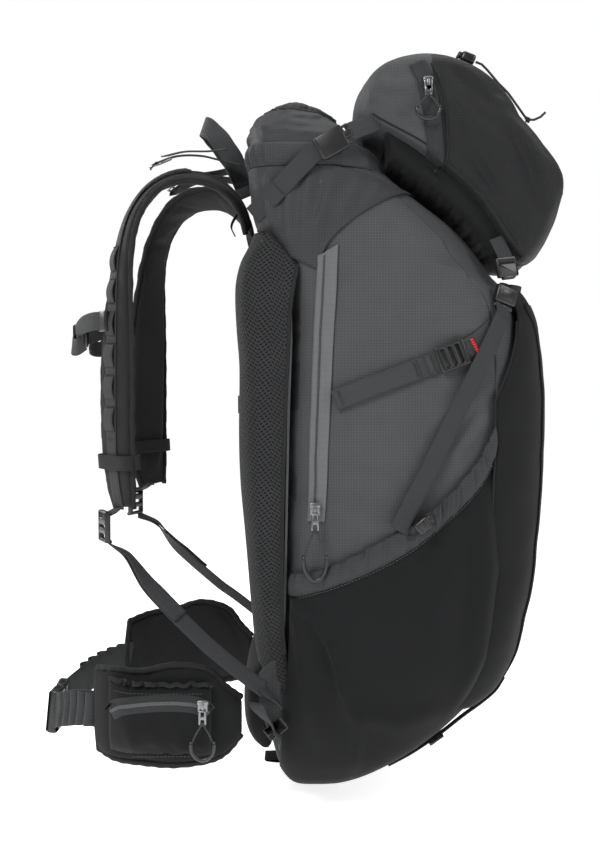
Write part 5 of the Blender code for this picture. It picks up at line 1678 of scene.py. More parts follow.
def makeLidStraps():
    for word, side in sides.items():
        line = rearLidStrap["path"]
        path = spread([atBag(x, side * y, z) for x, y, z in line], 30)
        across = (-0.66, side * -0.10, 0.75)
        strap = band(f"rearLidStrap_{word}", path, across, 0.0200, 0.0016, "webbing")
        fold = spread([atBag(x, side * (y + 0.0022), z) for x, y, z in line[:3]], 12)
        under = band("fold", fold, across, 0.0195, 0.0014, "webbing")
        wear(joined(f"rearLidStrap_{word}", [strap, under]), "lid", "webbing", "lid_strap_" + word)
        ahead = Vector((0.87, 0, 0.49)).normalized()
        normal = Vector((0, side, 0))
        wide = normal.cross(ahead).normalized()
        centre = atBag(0.0320, side * 0.1360, 0.6775)
        slots = []
        parts = [block("frame", centre, (ahead, wide, normal), (0.0300, 0.0250, 0.0066), "plastic", 0.0020, 3,
                       slots),
                 block("prong", centre + ahead * 0.0165, (ahead, wide, normal), (0.0120, 0.0080, 0.0050),
                       "plastic",
                       0.0016, 3),
                 block("grip", centre - ahead * 0.0150 + normal * 0.0020, (ahead, wide, normal),
                       (0.0030, 0.0240, 0.0050), "plastic", 0.0012)]
        for way in (-1, 1):
            parts.append(block("arm", centre + ahead * 0.0150 + wide * (0.0085 * way), (ahead, wide, normal),
                               (0.0140, 0.0028, 0.0044), "plastic", 0.0012, 3))
        wear(joined(f"rearLidBuckle_{word}", parts), "lid", "plastic")
        tail = spread([centre + ahead * 0.018, centre + ahead * 0.026 + Vector((0, -side * 0.001, 0)),
                       atBag(0.0660, side * 0.1290, 0.6950), atBag(0.0760, side * 0.1220, 0.7010)], 10)
        wear(band(f"rearLidWeb_{word}", tail, across, 0.0190, 0.0016, "webbing"), "lid", "webbing")


lidCordPath = [(0.1820, -0.0880, 0.7689), (0.1884, -0.0880, 0.7664), (0.1932, -0.0880, 0.7617),
               (0.1977, -0.0880, 0.7566), (0.2021, -0.0880, 0.7514), (0.2066, -0.0880, 0.7463),
               (0.2115, -0.0880, 0.7416), (0.2162, -0.0880, 0.7368), (0.2203, -0.0880, 0.7313),
               (0.2243, -0.0880, 0.7258), (0.2283, -0.0880, 0.7203), (0.2323, -0.0879, 0.7147),
               (0.2365, -0.0880, 0.7096), (0.2430, -0.0899, 0.7093), (0.2490, -0.0920, 0.7117),
               (0.2539, -0.0940, 0.7162)]


def cordCurve(name, path, radius, finish):
    curve = bpy.data.curves.new(name, "CURVE")
    curve.dimensions = "3D"
    curve.bevel_depth = radius
    curve.bevel_resolution = 3
    curve.use_fill_caps = True
    spline = curve.splines.new("POLY")
    spline.points.add(len(path) - 1)
    for target, p in zip(spline.points, path):
        target.co = (*p, 1.0)
    curve.materials.append(finishes[finish])
    obj = bpy.data.objects.new(name, curve)
    bpy.context.scene.collection.objects.link(obj)
    return obj


def makeLidCord():
    print("lid cord")
    path = [atBag(*p) for p in lidCordPath]
    low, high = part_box("lid_lock")
    centre = (low + high) / 2
    ahead = (path[1] - path[0]).normalized()
    wide = Vector((0, 1, 0))
    normal = ahead.cross(wide)
    parts = [block("barrel", centre, (wide, normal, ahead), (0.0130, 0.0100, 0.0150), "plastic", 0.0028, 3),
             block("top", centre - ahead * 0.0085, (wide, normal, ahead), (0.0085, 0.0062, 0.0060), "plastic",
                   0.0018, 3)]
    parts += [block(f"rib{k}", centre + ahead * (0.0040 * k) - normal * 0.0048, (wide, normal, ahead),
                    (0.0100, 0.0014, 0.0014), "plastic", 0.0005) for k in (-1, 0, 1)]
    lock = joined("lidCordLock", parts)
    wear(lock, "lid", "plastic", "lid_lock")
    length = runs(path)[-1]
    cord = cordCurve("lidCord", path, 0.00125, "cord")
    wear(cord, "lid", "cord", "lid_cord")
    knotPlace = path[12]
    turns = []
    for k in range(26):
        a = math.tau * 2.2 * k / 25
        turns.append(knotPlace + ahead * (0.0050 * (k / 25 - 0.5)) + wide * (0.0021 * math.cos(a))
                     + normal * (0.0021 * math.sin(a)))
    knot = tube("lidCordKnot", turns, 0.0011, "cord")
    wear(knot, "lid", "cord")
    # The short run of the same elastic behind the lock, sewn down at its end.
    short = spread([centre - ahead * 0.010 + wide * -0.002,
                    centre - ahead * 0.012 + Vector((-0.001, -0.006, -0.006)),
                    atBag(0.1680, -0.1000, 0.7560), atBag(0.1695, -0.1060, 0.7450)], 14)
    wear(tube("lidCordSewnEnd", short, 0.00125, "cord"), "lid", "cord")


# ---- shoulder straps ----
def swept(name, path, across, widths, thicks, finish, around=16, power=0.55):
    # A soft padded strip: a rounded section along a path.
    last = len(path) - 1
    rings = []
    for i, centre in enumerate(path):
        ahead = (path[min(i + 1, last)] - path[max(i - 1, 0)]).normalized()
        wide = (across[i] - ahead * across[i].dot(ahead)).normalized()
        up = ahead.cross(wide)
        ring = []
        for k in range(around):
            a = math.tau * k / around
            c, q = math.cos(a), math.sin(a)
            ring.append(centre + wide * (math.copysign(abs(c) ** power, c) * widths[i] / 2)
                        + up * (math.copysign(abs(q) ** power, q) * thicks[i] / 2))
        rings.append(ring)
    return loftPiece(name, rings, finish)


def frames(path, across):
    # Along, across and outward directions at each place of a path.
    last = len(path) - 1
    found = []
    for i in range(last + 1):
        ahead = (path[min(i + 1, last)] - path[max(i - 1, 0)]).normalized()
        wide = (across[i] - ahead * across[i].dot(ahead)).normalized()
        found.append((ahead, wide, ahead.cross(wide)))
    return found


shoulderShape = {
    "line": [
        (-0.056, 0.049, 0.598), (-0.063, 0.054, 0.621), (-0.078, 0.064, 0.640), (-0.100, 0.077, 0.6505),
        (-0.128, 0.091, 0.649), (-0.152, 0.104, 0.634), (-0.169, 0.112, 0.608), (-0.1785, 0.117, 0.575),
        (-0.183, 0.120, 0.535), (-0.186, 0.121, 0.480), (-0.187, 0.121, 0.420), (-0.1865, 0.120, 0.365),
        (-0.184, 0.119, 0.330), (-0.181, 0.118, 0.308),
    ],
    "roll": [
        (0.0, -0.10, 0.10), (0.25, 0.04, 0.26), (0.45, 0.36, 0.20), (0.65, 0.74, 0.04), (1.0, 0.70, 0.0),
    ],
    "width": 0.061, "thick": 0.0125,
}


def makeShoulderStraps():
    print("shoulder straps")
    shape = shoulderShape
    for word, side in sides.items():
        body = "strap_" + word
        path = spread([atBag(x, side * y, z) for x, y, z in shape["line"]], 60)
        across = []
        for i in range(60):
            forward, down = smooth(shape["roll"], i / 59)
            across.append(Vector((forward, side * 0.95, -down)))
        axes = frames(path, across)
        widths, thicks = [], []
        for i in range(60):
            t = i / 59
            ends = 0.70 + 0.30 * min(1.0, t / 0.12)
            foot = 1.0 - 0.28 * max(0.0, (t - 0.86) / 0.14) ** 2
            widths.append(shape["width"] * ends * foot * (1 - 0.06 * math.sin(math.pi * min(1.0, t * 1.4))))
            thicks.append(shape["thick"] * (0.62 + 0.38 * min(1.0, t / 0.10))
                          * (1 - 0.25 * max(0.0, (t - 0.9) / 0.1)))
        pad = swept(f"shoulderPad_{word}", path, across, [w * 0.97 for w in widths],
                    [t * 0.82 for t in thicks],
                    "padMesh", 20)
        swell(pad, 0.0016, 0.0042, 2.2)
        pad.parent = None
        outSign = []
        for i in range(60):
            up = axes[i][2]
            middle = atBag(-0.075, 0, path[i].z - bagFoot.z if path[i].z - bagFoot.z < 0.60 else 0.55)
            outSign.append(1.0 if up.dot(path[i] - middle) > 0 else -1.0)
        # Bound edges, scalloped on the inner one where the tape goes round the curve.
        trims = []
        for way in (-1, 1):
            edge = []
            for i in range(60):
                wave = 0.0007 * math.sin(i * 1.7) if way * side < 0 else 0.0
                edge.append(path[i] + axes[i][1] * (way * (widths[i] / 2 - 0.0012 + wave)))
            radii = [0.0027 + 0.0003 * math.sin(i * 1.7 + way) for i in range(60)]
            trims.append(tube(f"b{way}", spread(edge, 120), 0.0028, "binding",
                              radii=[radii[min(int(k / 2), 59)] for k in range(120)]))
        binding = joined(f"shoulderBinding_{word}", trims)
        # Webbing down the middle of the outer face, sewn in ribs as a daisy chain.
        line = [path[i] + axes[i][2] * (outSign[i] * (thicks[i] * 0.5 + 0.0013)) for i in range(12, 60)]
        over = [axes[i][1] for i in range(12, 60)]
        web = band("w", line, over, 0.0190, 0.0015, "webbing")
        ribs = [web]
        for k in range(6):
            at = 14 + k * 4
            if at + 3 >= len(line):
                continue
            a, b = line[at], line[at + 3]
            push = (axes[at + 13][2] * outSign[at + 13])
            arc = [a.lerp(b, t / 8) + push * (0.0012 + 0.0030 * math.sin(math.pi * t / 8)) for t in range(9)]
            ribs.append(band(f"r{k}", arc, [over[at]] * 9, 0.0180, 0.0014, "webbing"))
        webs = joined(f"shoulderWebbing_{word}", ribs)
        bars = []
        for k in range(7):
            at = min(14 + k * 4, len(line) - 2)
            n = axes[at + 12][2] * outSign[at + 12]
            seam = [line[at] + n * 0.0024 + over[at].normalized() * (0.0080 * (j / 6 - 1)) for j in range(13)]
            bars.append(stitches(f"t{k}", seam, n, "darkThread", 0.0022, 0.0007, 0.0008))
        bars = joined(f"shoulderTacks_{word}", bars)
        # Keeper loop round the pad's foot.
        keeper = []
        i = 53
        for k in range(33):
            a = math.tau * k / 32
            keeper.append(path[i] + axes[i][1] * (math.copysign(abs(math.cos(a)) ** 0.5,
                                                                math.cos(a)) * (widths[i] / 2 + 0.0022))
                          + axes[i][2] * (math.copysign(abs(math.sin(a)) ** 0.5,
                                                        math.sin(a)) * (thicks[i] / 2 + 0.0040)))
        loop = band(f"keeperLoop_{word}", keeper, [axes[i][0]] * 33, 0.0150, 0.0014, "darkWebbing")
        for piece, slot, nodes in ((pad, "mesh", ["shoulder_pad_" + word]), (binding, "webbing", []),
                                   (webs, "webbing", []), (bars, "cord", []), (loop, "webbing", [])):
            wear(piece, body, slot, *nodes)
        makeStrapEnds(word, side, path)


def makeStrapEnds(word, side, path):
    body = "strap_" + word
    low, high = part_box("strap_lock_" + word)
    centre = (low + high) / 2
    up, wide = Vector((0, 0, 1)), Vector((0.43, side * 0.90, 0)).normalized()
    normal = up.cross(wide).normalized()
    slots = [((0.0108, 0), (0.0042, 0.0190)), ((0.0, 0), (0.0036, 0.0190)), ((-0.0100, 0), (0.0050, 0.0190))]
    parts = [
        block("frame", centre, (up, wide, normal), (0.0325, 0.0265, 0.0062), "plastic", 0.0018, 3, slots),
        block("lip", centre - up * 0.0150 + normal * 0.0022, (up, wide, normal), (0.0040, 0.0255, 0.0052),
              "plastic", 0.0016, 3),
    ]
    wear(joined(f"strapLock_{word}", parts), body, "plastic", "strap_lock_" + word)
    # From the pad's foot to the lock.
    foot = path[-1]
    link = spread([foot + Vector((0, 0, 0.012)), foot + Vector((-0.008, 0, -0.001)),
                   centre + up * 0.0110 + normal * 0.001], 8)
    wear(band(f"strapLink_{word}", link, wide, 0.0180, 0.0016, "webbing"), body, "webbing")
    # Lower webbing to the fin, with a folded end that hangs free of the lock.
    start = centre + Vector((0.003, 0, -0.0165))
    line = [start, atBag(-0.1780, side * 0.1260, 0.2600), atBag(-0.1538, side * 0.137, 0.230), atBag(-0.1027,
            side * 0.150, 0.1813),
            atBag(-0.080, side * 0.1575, 0.163), atBag(-0.056, side * 0.1585, 0.144), atBag(-0.036,
                    side * 0.1545, 0.128)]
    lowerPath = spread(line, 50)
    across = Vector((-0.44, side * 0.70, -0.56)).normalized()
    turn = [wide.lerp(across, min(1.0, i / 16)).normalized() if wide.dot(across) > 0
            else (-wide).lerp(across, min(1.0, i / 16)).normalized() for i in range(50)]
    lower = band(f"lowerWebbing_{word}", lowerPath, turn, 0.0180, 0.0016, "webbing")
    wear(lower, body, "webbing", "lower_webbing_" + word)
    tailLine = [p + Vector((0.0018, side * 0.0024, 0.0016)) * min(1.0, i / 5) for i,
                p in enumerate(lowerPath[1:25])]
    wear(band(f"lowerTail_{word}", tailLine, [turn[min(i, 49)] for i in range(24)], 0.0176, 0.0015,
              "webbing"), body,
         "webbing")
    # Load lifter, its wire slider and free ends.
    line = [(-0.152, 0.1015, 0.6590), (-0.150, 0.100, 0.662), (-0.128, 0.088, 0.672), (-0.104, 0.076, 0.6745),
            (-0.082, 0.067, 0.671), (-0.064, 0.060, 0.668)]
    path2 = spread([atBag(x, side * y, z) for x, y, z in line], 40)
    wide2 = Vector((0.1, side * 0.95, -0.2))
    lifter = band(f"loadLifter_{word}", path2, wide2, 0.0195, 0.0016, "webbing")
    wear(lifter, body, "webbing", "load_lifter_" + word)
    free = spread([atBag(x, side * y, z + 0.0030) for x, y, z in [(-0.140, 0.0950, 0.6680),
                                                                  (-0.120, 0.084, 0.6745),
                                                                  (-0.096, 0.073, 0.6770),
                                                                  (-0.078, 0.068, 0.6800)]], 16)
    wear(band(f"lifterTail_{word}", free, wide2, 0.0185, 0.0015, "webbing"), body, "webbing")
    axis = (path2[4] - path2[2]).normalized()
    side2 = (wide2 - axis * wide2.dot(axis)).normalized()
    up2 = axis.cross(side2)
    middle = path2[4]
    loop = [middle + axis * a + side2 * b + up2 * 0.0012 for a, b in ((-0.0075, -0.0115), (-0.0075, 0.0115),
                                                                      (0.0, 0.0135), (0.0075, 0.0115),
                                                                      (0.0075, -0.0115), (0.0, -0.0135))]
    wire = tube(f"lifterWire_{word}", spread(loop + [loop[0]], 40)[:-1], 0.0012, "metal", closed=True)
    bar = tube("bar", [middle - side2 * 0.0128 + up2 * 0.0012, middle + side2 * 0.0128 + up2 * 0.0012],
               0.0011, "metal")
    wear(joined(f"lifterWire_{word}", [wire, bar]), body, "metal")


sternumShape = {
    "strap": [
        (-0.2, 0.12, 0.5), (-0.214, 0.106, 0.5), (-0.229, 0.081, 0.497), (-0.24, 0.054, 0.491),
        (-0.245, 0.03, 0.488), (-0.2455, 0.023, 0.4877),
    ],
}


def makeSternum():
    print("sternum strap")
    for word, side in sides.items():
        body = "sternum_" + word
        line = sternumShape["strap"]
        path = spread([atBag(x, side * y, z) for x, y, z in line], 34)
        strap = band(f"sternumStrap_{word}", path, (0, 0, 1), 0.0190, 0.0016, "webbing")
        tail = spread([atBag(-0.2425, side * 0.0400, 0.4820), atBag(-0.2440, side * 0.0600, 0.4760),
                       atBag(-0.2360, side * 0.0760, 0.4740), atBag(-0.2290, side * 0.0800, 0.4790)], 14)
        tail = band("tail", tail, (0.1, 0, 1), 0.0180, 0.0015, "webbing")
        wear(joined(f"sternumStrap_{word}", [strap, tail]), body, "webbing", "sternum_strap_" + word)
        centre = atBag(-0.2458, side * 0.0135, 0.4876)
        ahead, wide, normal = Vector((0, side, 0)), Vector((0, 0, 1)), Vector((side, 0, 0))
        slots = [((0.0090, 0), (0.0040, 0.0180))]
        parts = [block("frame", centre + ahead * 0.0010, (ahead, wide, normal), (0.0250, 0.0250, 0.0074),
                       "plastic",
                       0.0022, 3, slots),
                 block("nose", centre - ahead * 0.0100, (ahead, wide, normal), (0.0040, 0.0180, 0.0060),
                       "plastic", 0.0012)]
        wear(joined(f"sternumBuckle_{word}", parts), body, "plastic")
        # Clip that runs on the daisy chain.
        grip = atBag(-0.2010, side * 0.1190, 0.5000)
        wear(block(f"sternumClip_{word}", grip, ((0, 0, 1), (0.46, side * 0.89, 0), (0.89, side * -0.46, 0)),
                   (0.0210, 0.0220, 0.0050), "plastic", 0.0016, 3), body, "plastic")


# ---- hip belt ----
hipShape = {
    "line": [  # depth, out, low edge, high edge
        (-0.060, 0.1405, 0.078, 0.117), (-0.075, 0.150, 0.062, 0.131), (-0.092, 0.1575, 0.055, 0.150),
        (-0.125, 0.163, 0.052, 0.157), (-0.158, 0.156, 0.052, 0.149), (-0.188, 0.139, 0.051, 0.147),
        (-0.210, 0.115, 0.054, 0.142),
    ],
    "thick": 0.0155,
    "belt": [
        (-0.2050, 0.1190, 0.0965), (-0.2170, 0.107, 0.095), (-0.233, 0.091, 0.092), (-0.252, 0.068, 0.084),
        (-0.266, 0.044, 0.076), (-0.2735, 0.0300, 0.0705),
    ],
}


def hipAt(t):
    rows = hipShape["line"]
    return smooth([(i / (len(rows) - 1), *row) for i, row in enumerate(rows)], t)


def hipOut(t):
    a, b = hipAt(max(t - 0.02, 0.0)), hipAt(min(t + 0.02, 1.0))
    ahead = Vector((b[0] - a[0], b[1] - a[1], 0)).normalized()
    out = Vector((0, 0, 1)).cross(ahead)
    return out if out.y > 0 else -out


def onHip(side, t, level, out):
    # A place on the belt pad's outer face: share along it, share of its height, distance out.
    x, y, low, high = hipAt(t)
    normal = hipOut(t)
    p = Vector((x, y, low + (high - low) * level)) + normal * (hipShape["thick"] / 2 + out)
    return atBag(p.x, side * p.y, p.z), Vector((normal.x, side * normal.y, 0))


def makeHipBelt():
    print("hip belt")
    for word, side in sides.items():
        body = "wing_" + word
        rings = []
        for i in range(36):
            t = i / 35
            x, y, low, high = hipAt(t)
            out = hipOut(t)
            half = hipShape["thick"] / 2 * 0.80 * (0.72 + 0.28 * min(1.0, t / 0.12, (1 - t) / 0.10))
            ring = []
            for k in range(22):
                a = math.tau * k / 22
                c, q = math.cos(a), math.sin(a)
                u = math.copysign(abs(c) ** 0.62, c)
                v = math.copysign(abs(q) ** 0.62, q)
                p = Vector((x, y, (low + high) / 2 + (high - low) / 2 * 0.965 * u)) + out * (half * v)
                ring.append(atBag(p.x, side * p.y, p.z))
            rings.append(ring)
        pad = loftPiece(f"hipPad_{word}", rings, "padMesh")
        swell(pad, 0.0018, 0.0042, 2.4)
        pad.data.materials.append(finishes["stretchCloth"])
        for face in pad.data.polygons:
            if face.normal.dot(Vector((0, side, 0))) > 0.1:
                face.material_index = 1
        wear(pad, body, "mesh", "hip_pad_" + word)
        trims = []
        for level in (0.0, 1.0):
            edge = []
            for i in range(70):
                t = i / 69
                x, y, low, high = hipAt(t)
                edge.append(atBag(x, side * y, low + (high - low) * (0.016 + 0.968 * level)))
            trims.append(tube(f"b{level}", edge, 0.0034, "binding",
                              radii=[0.0034 + 0.0003 * math.sin(i * 1.3) for i in range(70)]))
        x, y, low, high = hipAt(1.0)
        trims.append(tube("tip", spread([atBag(x, side * y, low + 0.001), atBag(x - 0.0035,
                side * (y - 0.004), (low + high) / 2),
                                         atBag(x, side * y, high - 0.001)], 20), 0.0032, "binding"))
        wear(joined(f"hipBinding_{word}", trims), body, "webbing")
        belt = spread([atBag(x, side * y, z) for x, y, z in hipShape["belt"]], 34)
        strap = band("belt", belt, (0.1, 0, 1), 0.0375, 0.0020, "plainWebbing")
        parts = [strap]
        for k in range(5):
            first = belt[4 + 4 * k]
            last = belt[8 + 4 * k]
            outward = Vector((last - first).normalized().cross(Vector((0.1, 0, 1)))).normalized()
            outward = outward if outward.y * side > 0 else -outward
            arc = [first.lerp(last,
                              n / 10 * 0.96) + outward * (0.0006 + 0.0056 * math.sin(math.pi * n / 10) ** 0.7)
                   for n in range(11)]
            parts.append(band(f"f{k}", arc, (0.1, 0, 1), 0.0362, 0.0018, "plainWebbing"))
        wear(joined(f"hipBelt_{word}", parts), body, "webbing", "hip_belt_" + word)
        centre = atBag(-0.2750, side * 0.0150, 0.0683)
        ahead, wide, normal = (Vector((-0.06, side, 0)).normalized(), Vector((0.1, 0, 1)).normalized(),
                               Vector((1, 0, -0.1)))
        normal = ahead.cross(wide)
        slots = [((0.0095, 0), (0.0045, 0.0385))]
        parts = [block("frame", centre + ahead * 0.0005, (ahead, wide, normal), (0.0275, 0.0490, 0.0120),
                       "plastic", 0.0034, 3, slots)]
        for way in (-1, 1):
            parts.append(block("arm", centre - ahead * 0.0020 + wide * (0.0205 * way), (ahead, wide, normal),
                               (0.0190, 0.0080, 0.0124), "plastic", 0.0028, 3))
        wear(joined(f"hipBuckle_{word}", parts), body, "plastic")
        if side < 0:
            makeHipPocket(side)
        else:
            # The other pad carries a strip of webbing where this one has its pocket.
            path = [onHip(side, 0.12 + 0.80 * i / 29, 0.50, 0.0018)[0] for i in range(30)]
            wear(band("hipStrip", path, (0, 0, 1), 0.0190, 0.0016, "webbing"), body, "webbing")
        makeFin(word, side)


finShape = {
    "cloth": [
        ((-0.0195, 0.1375), (0.066, 0.158)), ((-0.0275, 0.142), (0.074, 0.155)),
        ((-0.0345, 0.1465), (0.092, 0.15)), ((-0.041, 0.1505), (0.112, 0.144)),
    ],
}


def makeFin(word, side):
    # Three-cornered wing of cloth with a wide strip of webbing and its three-bar slider.
    lines = finShape["cloth"]
    grid = []
    for i in range(22):
        t = i / 21
        (x, y), (low, high) = [smooth([(k / 3, *line[part]) for k, line in enumerate(lines)],
                                      t) for part in (0, 1)]
        row = []
        for j in range(14):
            u = j / 13
            wave = 0.0008 * math.sin(9 * t + 4 * u) * math.sin(math.pi * u)
            row.append(atBag(x, side * (y + 0.0016 + wave), low + (high - low) * u))
        grid.append(row)
    fin = sheetPiece(f"hipFin_{word}", grid, "ripstopDark", 0.0012, turned=side > 0)
    wear(fin, "bag", "ripstop_dark", "hip_fin_" + word)
    line = [(-0.0190, 0.1440, 0.0800), (-0.0300, 0.1470, 0.0900), (-0.0400, 0.1530, 0.1040),
            (-0.0455, 0.1575, 0.1150)]
    path = spread([atBag(x, side * y, z) for x, y, z in line], 16)
    web = band("w", path, (0.7, 0, -0.7), 0.0200, 0.0016, "webbing")
    path = spread([atBag(x, side * y, z)
                   for x, y, z in [(-0.0400, 0.1545, 0.1320), (-0.0300, 0.1500, 0.1220),
                                   (-0.0200, 0.1440, 0.1100)]], 12)
    stay = band("s", path, (-0.63, 0, 0.77), 0.0180, 0.0015, "webbing")
    wear(joined(f"finWebbing_{word}", [web, stay]), "bag", "webbing")
    centre = atBag(-0.0245, side * 0.1475, 0.0855)
    normal = Vector((-0.25, side * 0.96, 0)).normalized()
    ahead = Vector((-0.62, side * -0.16, 0.76)).normalized()
    ahead = (ahead - normal * ahead.dot(normal)).normalized()
    wide = normal.cross(ahead)
    slots = [((-0.0032, 0), (0.0034, 0.0185)), ((0.0032, 0), (0.0034, 0.0185))]
    wear(block(f"finSlider_{word}", centre, (ahead, wide, normal), (0.0140, 0.0245, 0.0030), "plastic",
               0.0012, 2, slots),
         "bag", "plastic")


hipPocketShape = {
    "columns": [
        (-0.0875, 0.164, 0.6), (-0.094, 0.1667, 1.0), (-0.125, 0.172, 1.0), (-0.168, 0.1625, 1.0),
        (-0.182, 0.1535, 0.62), (-0.1925, 0.146, 0.35),
    ],
    "zip": [
        (-0.19, 0.108), (-0.178, 0.116), (-0.15, 0.1205), (-0.118, 0.121), (-0.099, 0.118), (-0.09, 0.11),
    ],
}


def makeHipPocket(side):
    print("hip pocket")
    body = "wing_left"
    columns = hipPocketShape["columns"]
    face = 0.1785
    levels = 22
    outer, inner = [], []
    for i in range(44):
        t = i / 43 * (len(columns) - 1)
        k = min(int(t), len(columns) - 2)
        x, wall, full = [columns[k][n] + (columns[k + 1][n] - columns[k][n]) * (t - k) for n in range(3)]
        outerRow, innerRow = [], []
        for j in range(levels):
            u = j / (levels - 1)
            z = 0.0640 + 0.0770 * u
            taper = full * (1 - abs(2 * u - 1) ** 5)
            wave = 0.0010 * bump3(x, 0.4, z, 60) + 0.0007 * math.sin(x * 260 + z * 90) * (1 - u)
            depth = (face - wall) * max(taper, 0.12) * 0.96 + wave * taper
            outerRow.append(atBag(x, side * (wall + 0.0006 + depth), z))
            innerRow.append(atBag(x, side * (wall + 0.0004), z))
        outer.append(outerRow)
        inner.append(innerRow)
    rings = []
    for a, b in zip(outer, inner):
        rings.append(a + list(reversed(b)))
    pocket = loftPiece("hipPocketCloth", rings, "stretchCloth")
    swell(pocket, 0.0014, 0.0034, 2.0)
    wear(pocket, body, "ripstop_dark", "hip_pocket")
    tree = surfaceTree(pocket)

    def onPocket(x, z, out):
        p = fromSide(tree, side, x, z, out, 0.1770)[0]
        if abs(p.y) < 0.150:
            p = atBag(x, side * 0.1640, z)
        return p

    # A wide zip, curved over the pocket's top, and its binding.
    arc = hipPocketShape["zip"]
    flat = spread([(x, z, 0) for x, z in arc], 70)
    grid = []
    for i in range(70):
        ahead = (flat[min(i + 1, 69)] - flat[max(i - 1, 0)]).normalized()
        wide = Vector((-ahead.y, ahead.x, 0))
        row = []
        for j in range(9):
            t = -1 + 2 * j / 8
            p = flat[i] + wide * (t * 0.0085)
            row.append(onPocket(p.x, p.y, 0.0010 - 0.0004 * abs(t) ** 6))
        grid.append(row)
    wear(sheetPiece("hipZipTape", grid, "darkTape", 0.0010, turned=True), body, "zip_tape")
    path = [row[4] for row in grid]
    wear(coil("hipZipTeeth", path, Vector((0, side, 0)), "zipTape", 0.0018, 0.0018, 0.0010), body, "zip_tape")
    top = [onPocket(x, z, 0.0012) for x, z in [(-0.192 + 0.104 * i / 49,
                                                0.1385 + 0.0010 * math.sin(i)) for i in range(50)]]
    wear(tube("hipPocketBinding", top, 0.0023, "binding"), body, "webbing")
    for way, z0 in ((0, 0.0665), (1, 0.1300)):
        line = [onPocket(-0.186 + 0.092 * i / 59, z0, 0.0004) for i in range(60)]
        wear(stitches(f"hipPocketSeam{way}", line, Vector((0, side, 0)), "thread", 0.0026, 0.0013, 0.0005),
             body, "cord")
    low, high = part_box("hip_zip_slider")
    makeSlider("hipSlider", (low + high) / 2, side, "hip_slider", "hip_zip_slider", 0.0120, 0.0100)
    makePuller("hipPuller", "hip_zip_ring", side, "hip_puller")


# ---- top and back ----
haulShape = {
    "side": [
        (-0.0665, 0.04, 0.664), (-0.0755, 0.0405, 0.683), (-0.09, 0.034, 0.703), (-0.103, 0.019, 0.716),
    ],
}


def makeHaulLoop():
    print("haul loop")
    half = haulShape["side"]
    points = [atBag(x, -y, z) for x, y, z in half] + [atBag(-0.107, 0, 0.719)] + [atBag(x, y, z) for x, y,
            z in reversed(half)]
    path = spread([atBag(-0.0600, -0.0400, 0.6480)] + points + [atBag(-0.0600, 0.0400, 0.6480)], 60)
    across = []
    for i in range(60):
        t = abs(i / 59 * 2 - 1)
        across.append(Vector((0.35 + 0.5 * t * t, 0.12 * math.sin(i * 0.4), 0.94 - 0.5 * t * t)).normalized())
    widths = [0.0215 + 0.0006 * math.sin(i * 0.9) for i in range(60)]
    loop = band("haulLoop", path, across, 0.022, 0.0026, "plainWebbing", widths)
    wear(loop, "bag", "webbing", "haul_loop")
    tab = spread([atBag(-0.0620, -0.012, 0.6240), atBag(-0.0700, -0.012, 0.6200),
                  atBag(-0.0760, -0.012, 0.6080), atBag(-0.0720, -0.012, 0.5980)], 14)
    wear(band("hangingTab", tab, (0, 1, 0), 0.0160, 0.0014, "darkWebbing"), "bag", "webbing")


lumbarShape = {
    "depths": [
        (0.052, 0.014), (0.06, 0.026), (0.078, 0.034), (0.12, 0.034), (0.138, 0.028), (0.148, 0.017),
    ],
}


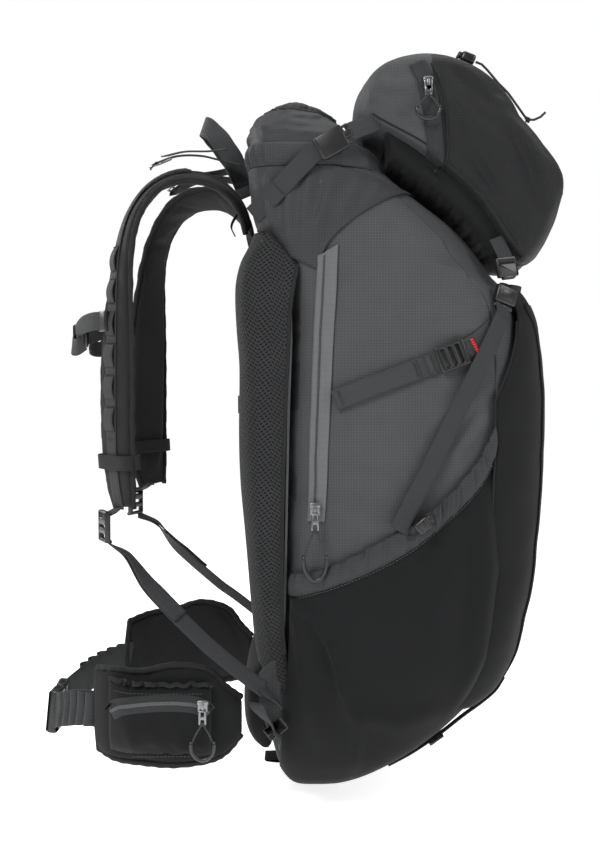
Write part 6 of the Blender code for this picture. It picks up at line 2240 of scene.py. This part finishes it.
def makeLumbar():
    print("lumbar pad")
    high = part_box("lumbar_pad")[1]
    depths = lumbarShape["depths"]
    rings = []
    for i in range(20):
        z = 0.0525 + 0.0950 * i / 19
        depth = smooth(depths, z)[0]
        ring = []
        for k in range(40):
            a = math.tau * k / 40
            c, q = math.cos(a), math.sin(a)
            u = math.copysign(abs(c) ** 0.35, c)
            v = math.copysign(abs(q) ** 0.6, q)
            y = 0.1120 * u
            near = high.x - 0.0035 - bagFoot.x
            x = near - depth / 2 * (1 - v) * 0.92 - 0.001
            ring.append(atBag(x, y, z))
        rings.append(ring)
    pad = loftPiece("lumbarPad", rings, "padMesh")
    swell(pad, 0.0022, 0.0050, 2.2)
    for v in pad.data.vertices:
        v.co.x = min(v.co.x, high.x)
    wear(pad, "bag", "mesh", "lumbar_pad")


toolShape = {
    "stations": [
        (0.122, 0.0185), (0.108, 0.0185), (0.096, 0.014), (0.08, 0.008), (0.06, 0.0065), (0.04, 0.006),
        (0.026, 0.005),
    ],
}


def makeToolStraps():
    print("tool straps")
    for word, side in sides.items():
        stations = toolShape["stations"]
        path = []
        for z, out in stations:
            # Where the front skin is at this width.
            best = min(range(91), key=lambda a: abs(abs(skin(math.radians(a), z).y) - 0.080))
            p = skin(math.radians(best), z)
            path.append(atBag(p.x + out - 0.0005, side * 0.080, z))
        path = spread(path, 36)
        strap = band(f"toolStrap_{word}", path, (0, 1, 0), 0.0100, 0.0015, "plainWebbing")
        wear(strap, "bag", "webbing", "tool_strap_" + word)
        i = 22
        ahead = (path[i + 1] - path[i - 1]).normalized()
        wide = Vector((0, 1, 0))
        normal = ahead.cross(wide)
        normal = normal if normal.x > 0 else -normal
        centre = path[i] + normal * 0.0014
        slots = [((-0.0042, 0), (0.0040, 0.0125)), ((0.0042, 0), (0.0040, 0.0125))]
        wear(block(f"toolSlider_{word}", centre, (ahead, wide, normal), (0.0180, 0.0190, 0.0034), "plastic",
                   0.0012, 2,
                   slots), "bag", "plastic")


def makeHidden():
    # Stiffeners behind the back panel: drawn as they are, in their own finishes.
    for node, finish in (("frame_sheet", "sheetPlastic"), ("frame_stay", "metal")):
        piece = bpy.data.objects[node]
        piece.data.materials.clear()
        piece.data.materials.append(finishes[finish])


makeStudio()
for name, look in ripstopLook.items():
    makeRipstop(name, look)
makeStretchCloth()
makeAirMesh()
makeWoven()
makeHard()
makeLidCord()
makeWalls()
makeBase()
makeRim()
makeBackPadding()
makeSidePockets()
makeFrontPocket()
makeSideStraps()
makeSideZip()
makeLidDetails(makeLid())
makeShoulderStraps()
makeSternum()
makeHipBelt()
makeHaulLoop()
makeLumbar()
makeToolStraps()
makeHidden()
